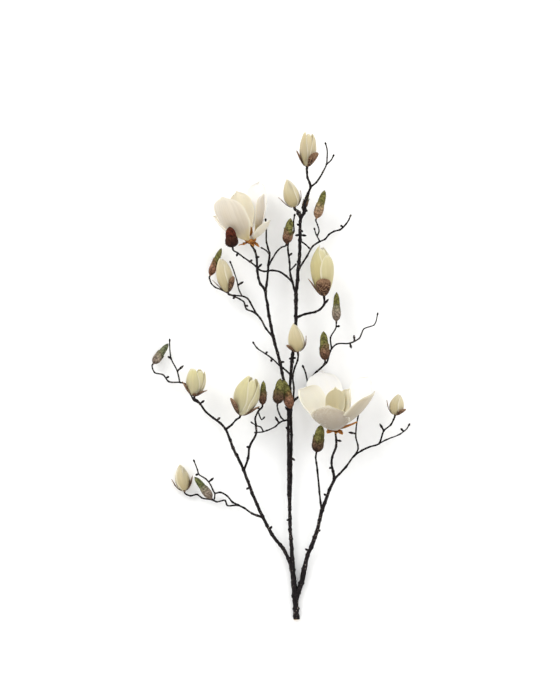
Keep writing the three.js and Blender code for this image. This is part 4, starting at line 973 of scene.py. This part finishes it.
def petal_material(name, foot, low, body, tip, veins):
    """Petals: a yellow-green foot that fades into ivory, faint veins, a painted highlight along the edges,
    then whitened; on open blooms the whitening paints each petal's light and shade.
    """
    look = Surface(name, Roughness=0.62, Subsurface_Weight=0.35, Subsurface_Scale=0.003,
                   Sheen_Weight=0.15, Specular_IOR_Level=0.3)
    look.shader.inputs["Subsurface Radius"].default_value = (1.0, 0.85, 0.6)
    drift = look.noise(look.stretched(1.5, 2.5), 1.0, 2)
    base = look.ramp(look.strayed(drift, 0.35), ((0.0, foot), (0.16, low), (0.42, body), (0.95, tip)))
    fine = look.noise(look.stretched(16, 0.7), 1.0, 4, 0.6)
    lines = look.ramp(fine, ((0.4, 0.0), (0.62, 1.0)))
    veined = look.blend(look.combine("MULTIPLY", lines, 0.24), base, colour(veins))
    # Mask of the painted edge highlight: the petal's sides and its end.
    side = look.ramp(look.combine("ABSOLUTE", look.across, 0), ((0.84, 0.0), (1.0, 1.0)))
    end = look.ramp(look.along, ((0.93, 0.0), (1.0, 1.0)))
    rim = look.combine("MAXIMUM", side, end)
    rim_highlighted = look.blend(look.combine("MULTIPLY", rim, 0.7), veined, colour(PETAL_EDGE_HIGHLIGHT))
    # The seed's fraction whitens each petal. On open blooms this is painted light and shade, white where a
    # petal is lit and beige where it is shaded; on closed flowers it is a tone that differs petal by petal.
    paleness_and_painted_light = look.combine("FRACT", look.seed, 0)
    pale = look.ramp(paleness_and_painted_light, ((0.3, "#efe6ca"), (0.5, "#f5eee0"), (0.7, "#f5ecca"), (0.85, "#fcfaf6")))
    return look.finish(look.blend(paleness_and_painted_light, rim_highlighted, pale), fine, 0.0006, 0.45)


def bract_material(name, foot, middle, tip):
    """Papery bracts: dark at the foot and brighter towards the tip, with fibres along them."""
    look = Surface(name, Roughness=0.75, Specular_IOR_Level=0.15)
    blotch = look.noise(look.object, 520, 4, 0.7)
    fibre = look.noise(look.stretched(14, 1.2), 1.0, 3)
    base = look.ramp(look.strayed(blotch, 1.5), ((0.15, foot), (0.55, middle), (1.0, tip)))
    lined = look.blend(look.ramp(fibre, ((0.45, 0.0), (0.62, 0.7))), base, colour(foot))
    flecks = look.ramp(look.noise(look.object, 480, 3), ((0.5, 0.0), (0.62, 0.85)))
    return look.finish(look.blend(flecks, lined, colour(tip)), fibre, 0.0008, 0.8)


CUT_PLACE = -391.6  # mm: bark ends and bare wood shows below this y


def bark_material():
    """Near-black bark with pale specks, and pale wood on the cut end of the trunk."""
    look = Surface("bark", Specular_IOR_Level=0.15)
    grain = look.noise(look.object, 420, 5, 0.65)
    patches = look.noise(look.object, 60, 3)
    base = look.ramp(grain, ((0.34, "#050404"), (0.5, "#0f0b0c"), (0.7, "#30272a")))
    toned = look.blend(look.ramp(patches, ((0.45, 0.0), (0.65, 0.5))), base, colour("#1c1315"))
    specks = look.node("ShaderNodeTexVoronoi", Scale=330.0)
    look.join(look.object, specks.inputs["Vector"])
    dots = look.ramp(specks.outputs["Distance"], ((0.12, 1.0), (0.26, 0.0)))
    chosen = look.combine("MULTIPLY", dots, look.ramp(patches, ((0.46, 0.0), (0.58, 1.0))))
    dotted = look.blend(chosen, toned, colour("#a39789"))
    split = look.node("ShaderNodeSeparateXYZ")
    look.join(look.object, split.inputs["Vector"])
    cut = look.combine("LESS_THAN", split.outputs["Y"], CUT_PLACE * MM)
    rings = look.ramp(look.noise(look.object, 900, 2), ((0.35, "#8d7350"), (0.65, "#c2a67a")))
    whole = look.blend(cut, dotted, rings)
    rough = look.ramp(grain, ((0.3, 0.6), (0.7, 0.85)))
    return look.finish(whole, grain, 0.0008, 0.8, rough)


def fur_material(name, stops, foot, middle, tip):
    """Bud fur: colour changes from foot to tip of the bud, hair by hair, in soft dark patches."""
    look = Surface(name, Roughness=0.85, Specular_IOR_Level=0.12)
    fine = look.noise(look.object, 700, 3)
    base = look.ramp(look.strayed(fine, 0.8), tuple(zip(stops, (foot, middle, tip))))
    shade = look.ramp(look.noise(look.object, 290, 4, 0.7), ((0.36, 0.25), (0.5, 0.8), (0.64, 1.5)))
    return look.finish(look.blend(1.0, base, shade, "MULTIPLY"), fine, 0.0003, 0.5)


def cone_material(name, foot, tip):
    """Stamens and carpels: coloured from foot to tip."""
    look = Surface(name, Roughness=0.55, Subsurface_Weight=0.1, Subsurface_Scale=0.001)
    mottle = look.noise(look.object, 1300, 3)
    base = look.ramp(look.along, ((0.1, foot), (0.9, tip)))
    shade = look.ramp(mottle, ((0.3, 0.75), (0.7, 1.1)))
    return look.finish(look.blend(1.0, base, shade, "MULTIPLY"), mottle, 0.0003, 0.5)


def floor_material():
    """A plain pale floor with the faintest grain."""
    look = Surface("floor", Roughness=0.9)
    grain = look.noise(look.object, 40, 3)
    return look.finish(look.ramp(grain, ((0.3, "#f7f7f6"), (0.7, "#fbfbfa"))), grain, 0.0001, 0.1)


def materials(make, kind, colours, *first):
    """Materials of a kind, one for each row of colours, which stand in the order that make takes."""
    return {name: make(f"{name.replace('_', ' ')} {kind}", *first, *codes.split())
            for name, codes in colours.items()}


petal_materials = materials(petal_material, "petal", {
    "ivory": "#938351 #a5966c #ad9e7e #c0b189 #8e7e60",
    "beige": "#9f8f64 #af9e75 #b6a883 #cbbe9c #948560",
    "yellow": "#968848 #aa9e64 #b1a470 #c4ba88 #91854e",
    "cream": "#a69c70 #afa680 #b6ac84 #c6be8c #938865",
    # The two bloom rows have darker bodies to paint the shade on their front petals, which face away from
    # the light; the whitening of the other petals paints the lit ones.
    "bloom_1": "#aa873a #b6a56c #b4aa9b #cdc5ba #978c7a",
    "bloom_2": "#beb286 #afa38a #867b6b #ada28f #736959",
})
ALONG_FUR = (0.1, 0.42, 0.62)  # where a bud's fur has its foot, middle and tip colours
fur_materials = materials(fur_material, "bud fur", {
    "olive": "#5e4a30 #68633a #73703f",
    "dull": "#5c5644 #666b4c #757a5c",
    "deep": "#45402a #4c5230 #62663e",
    "coat": "#24100a #4a2014 #56291a",
}, ALONG_FUR)
ALONG_SCALE = (0.1, 0.5, 0.95)  # and where a bud scale has them
scale_materials = materials(fur_material, "bud scale", {
    "brown": "#4a3226 #80604c #756844",
    "tan": "#8a6a52 #a98d70 #8a8050",
    "rust": "#6a4632 #99705a #7d683e",
    "grey": "#6b5d52 #988a7a #7c7a5c",
    "dark": "#33241b #5e4838 #625a34",
    "coat": "#24140e #3a2117 #4a2a1c",
}, ALONG_SCALE)
flower_bract = bract_material("flower bract", "#1f130d", "#4a3022", "#a07e60")
bloom_bract = bract_material("bloom bract", "#4a2a14", "#a3602a", "#cf9450")
cone_materials = materials(cone_material, "cone", {
    "bloom_1": "#8a4f0c #c07a1c",
    "bloom_2": "#8f8a48 #b7a888",
})


# ---------------------------------------------------------------- assembly

make_wood()
for name in FLOWERS:
    flower_bracts(name)
    flower_petals(name)
for name in BLOOMS:
    bloom_bracts(name)
    bloom_petals(name)
    bloom_cone(name)
for name in BUDS:
    bud_scales(name)
    bud_fur(name)


# ---------------------------------------------------------------- floor, light and camera

FLOOR_SIZE = 12  # m across
LOOK_AT = Vector((-0.0016, 0.0416, 0.035))
CAMERA_HEIGHT = 5.6  # m above what it looks at
LENS = 180  # mm
FILM = 36  # mm high
SKY = 1.12  # strength of the white light from all round


def make_floor():
    mesh = bpy.data.meshes.new("floor_mesh")
    half = FLOOR_SIZE / 2
    corners = ((-half, -half, 0), (half, -half, 0), (half, half, 0), (-half, half, 0))
    mesh.from_pydata(corners, [], ((0, 1, 2, 3),))
    mesh.materials.append(floor_material())
    add_object("floor", mesh)


def soft_light(name, at, size, power):
    light = bpy.data.lights.new(name, "AREA")
    light.shape = "DISK"
    light.size = size
    light.energy = power
    lamp = add_object(name, light)
    lamp.location = at
    lamp.rotation_euler = (-Vector(at)).to_track_quat("-Z", "Y").to_euler()


def make_sky():
    world = bpy.data.worlds.new("studio")
    world.use_nodes = True
    glow = world.node_tree.nodes["Background"]
    glow.inputs["Color"].default_value = (1, 1, 1, 1)
    glow.inputs["Strength"].default_value = SKY
    bpy.context.scene.world = world


def make_camera():
    camera = bpy.data.cameras.new("camera")
    camera.lens = LENS
    camera.sensor_width = FILM
    camera.clip_end = 50
    holder = add_object("camera", camera)
    holder.location = LOOK_AT + Vector((0, 0, CAMERA_HEIGHT))
    bpy.context.scene.camera = holder


make_floor()
make_sky()
soft_light("key", (-1.8, 2.4, 2.2), size=1.6, power=40)
soft_light("fill", (1.8, 1.6, 2.2), size=2.0, power=10)
make_camera()
bpy.context.scene.view_settings.view_transform = "Standard"
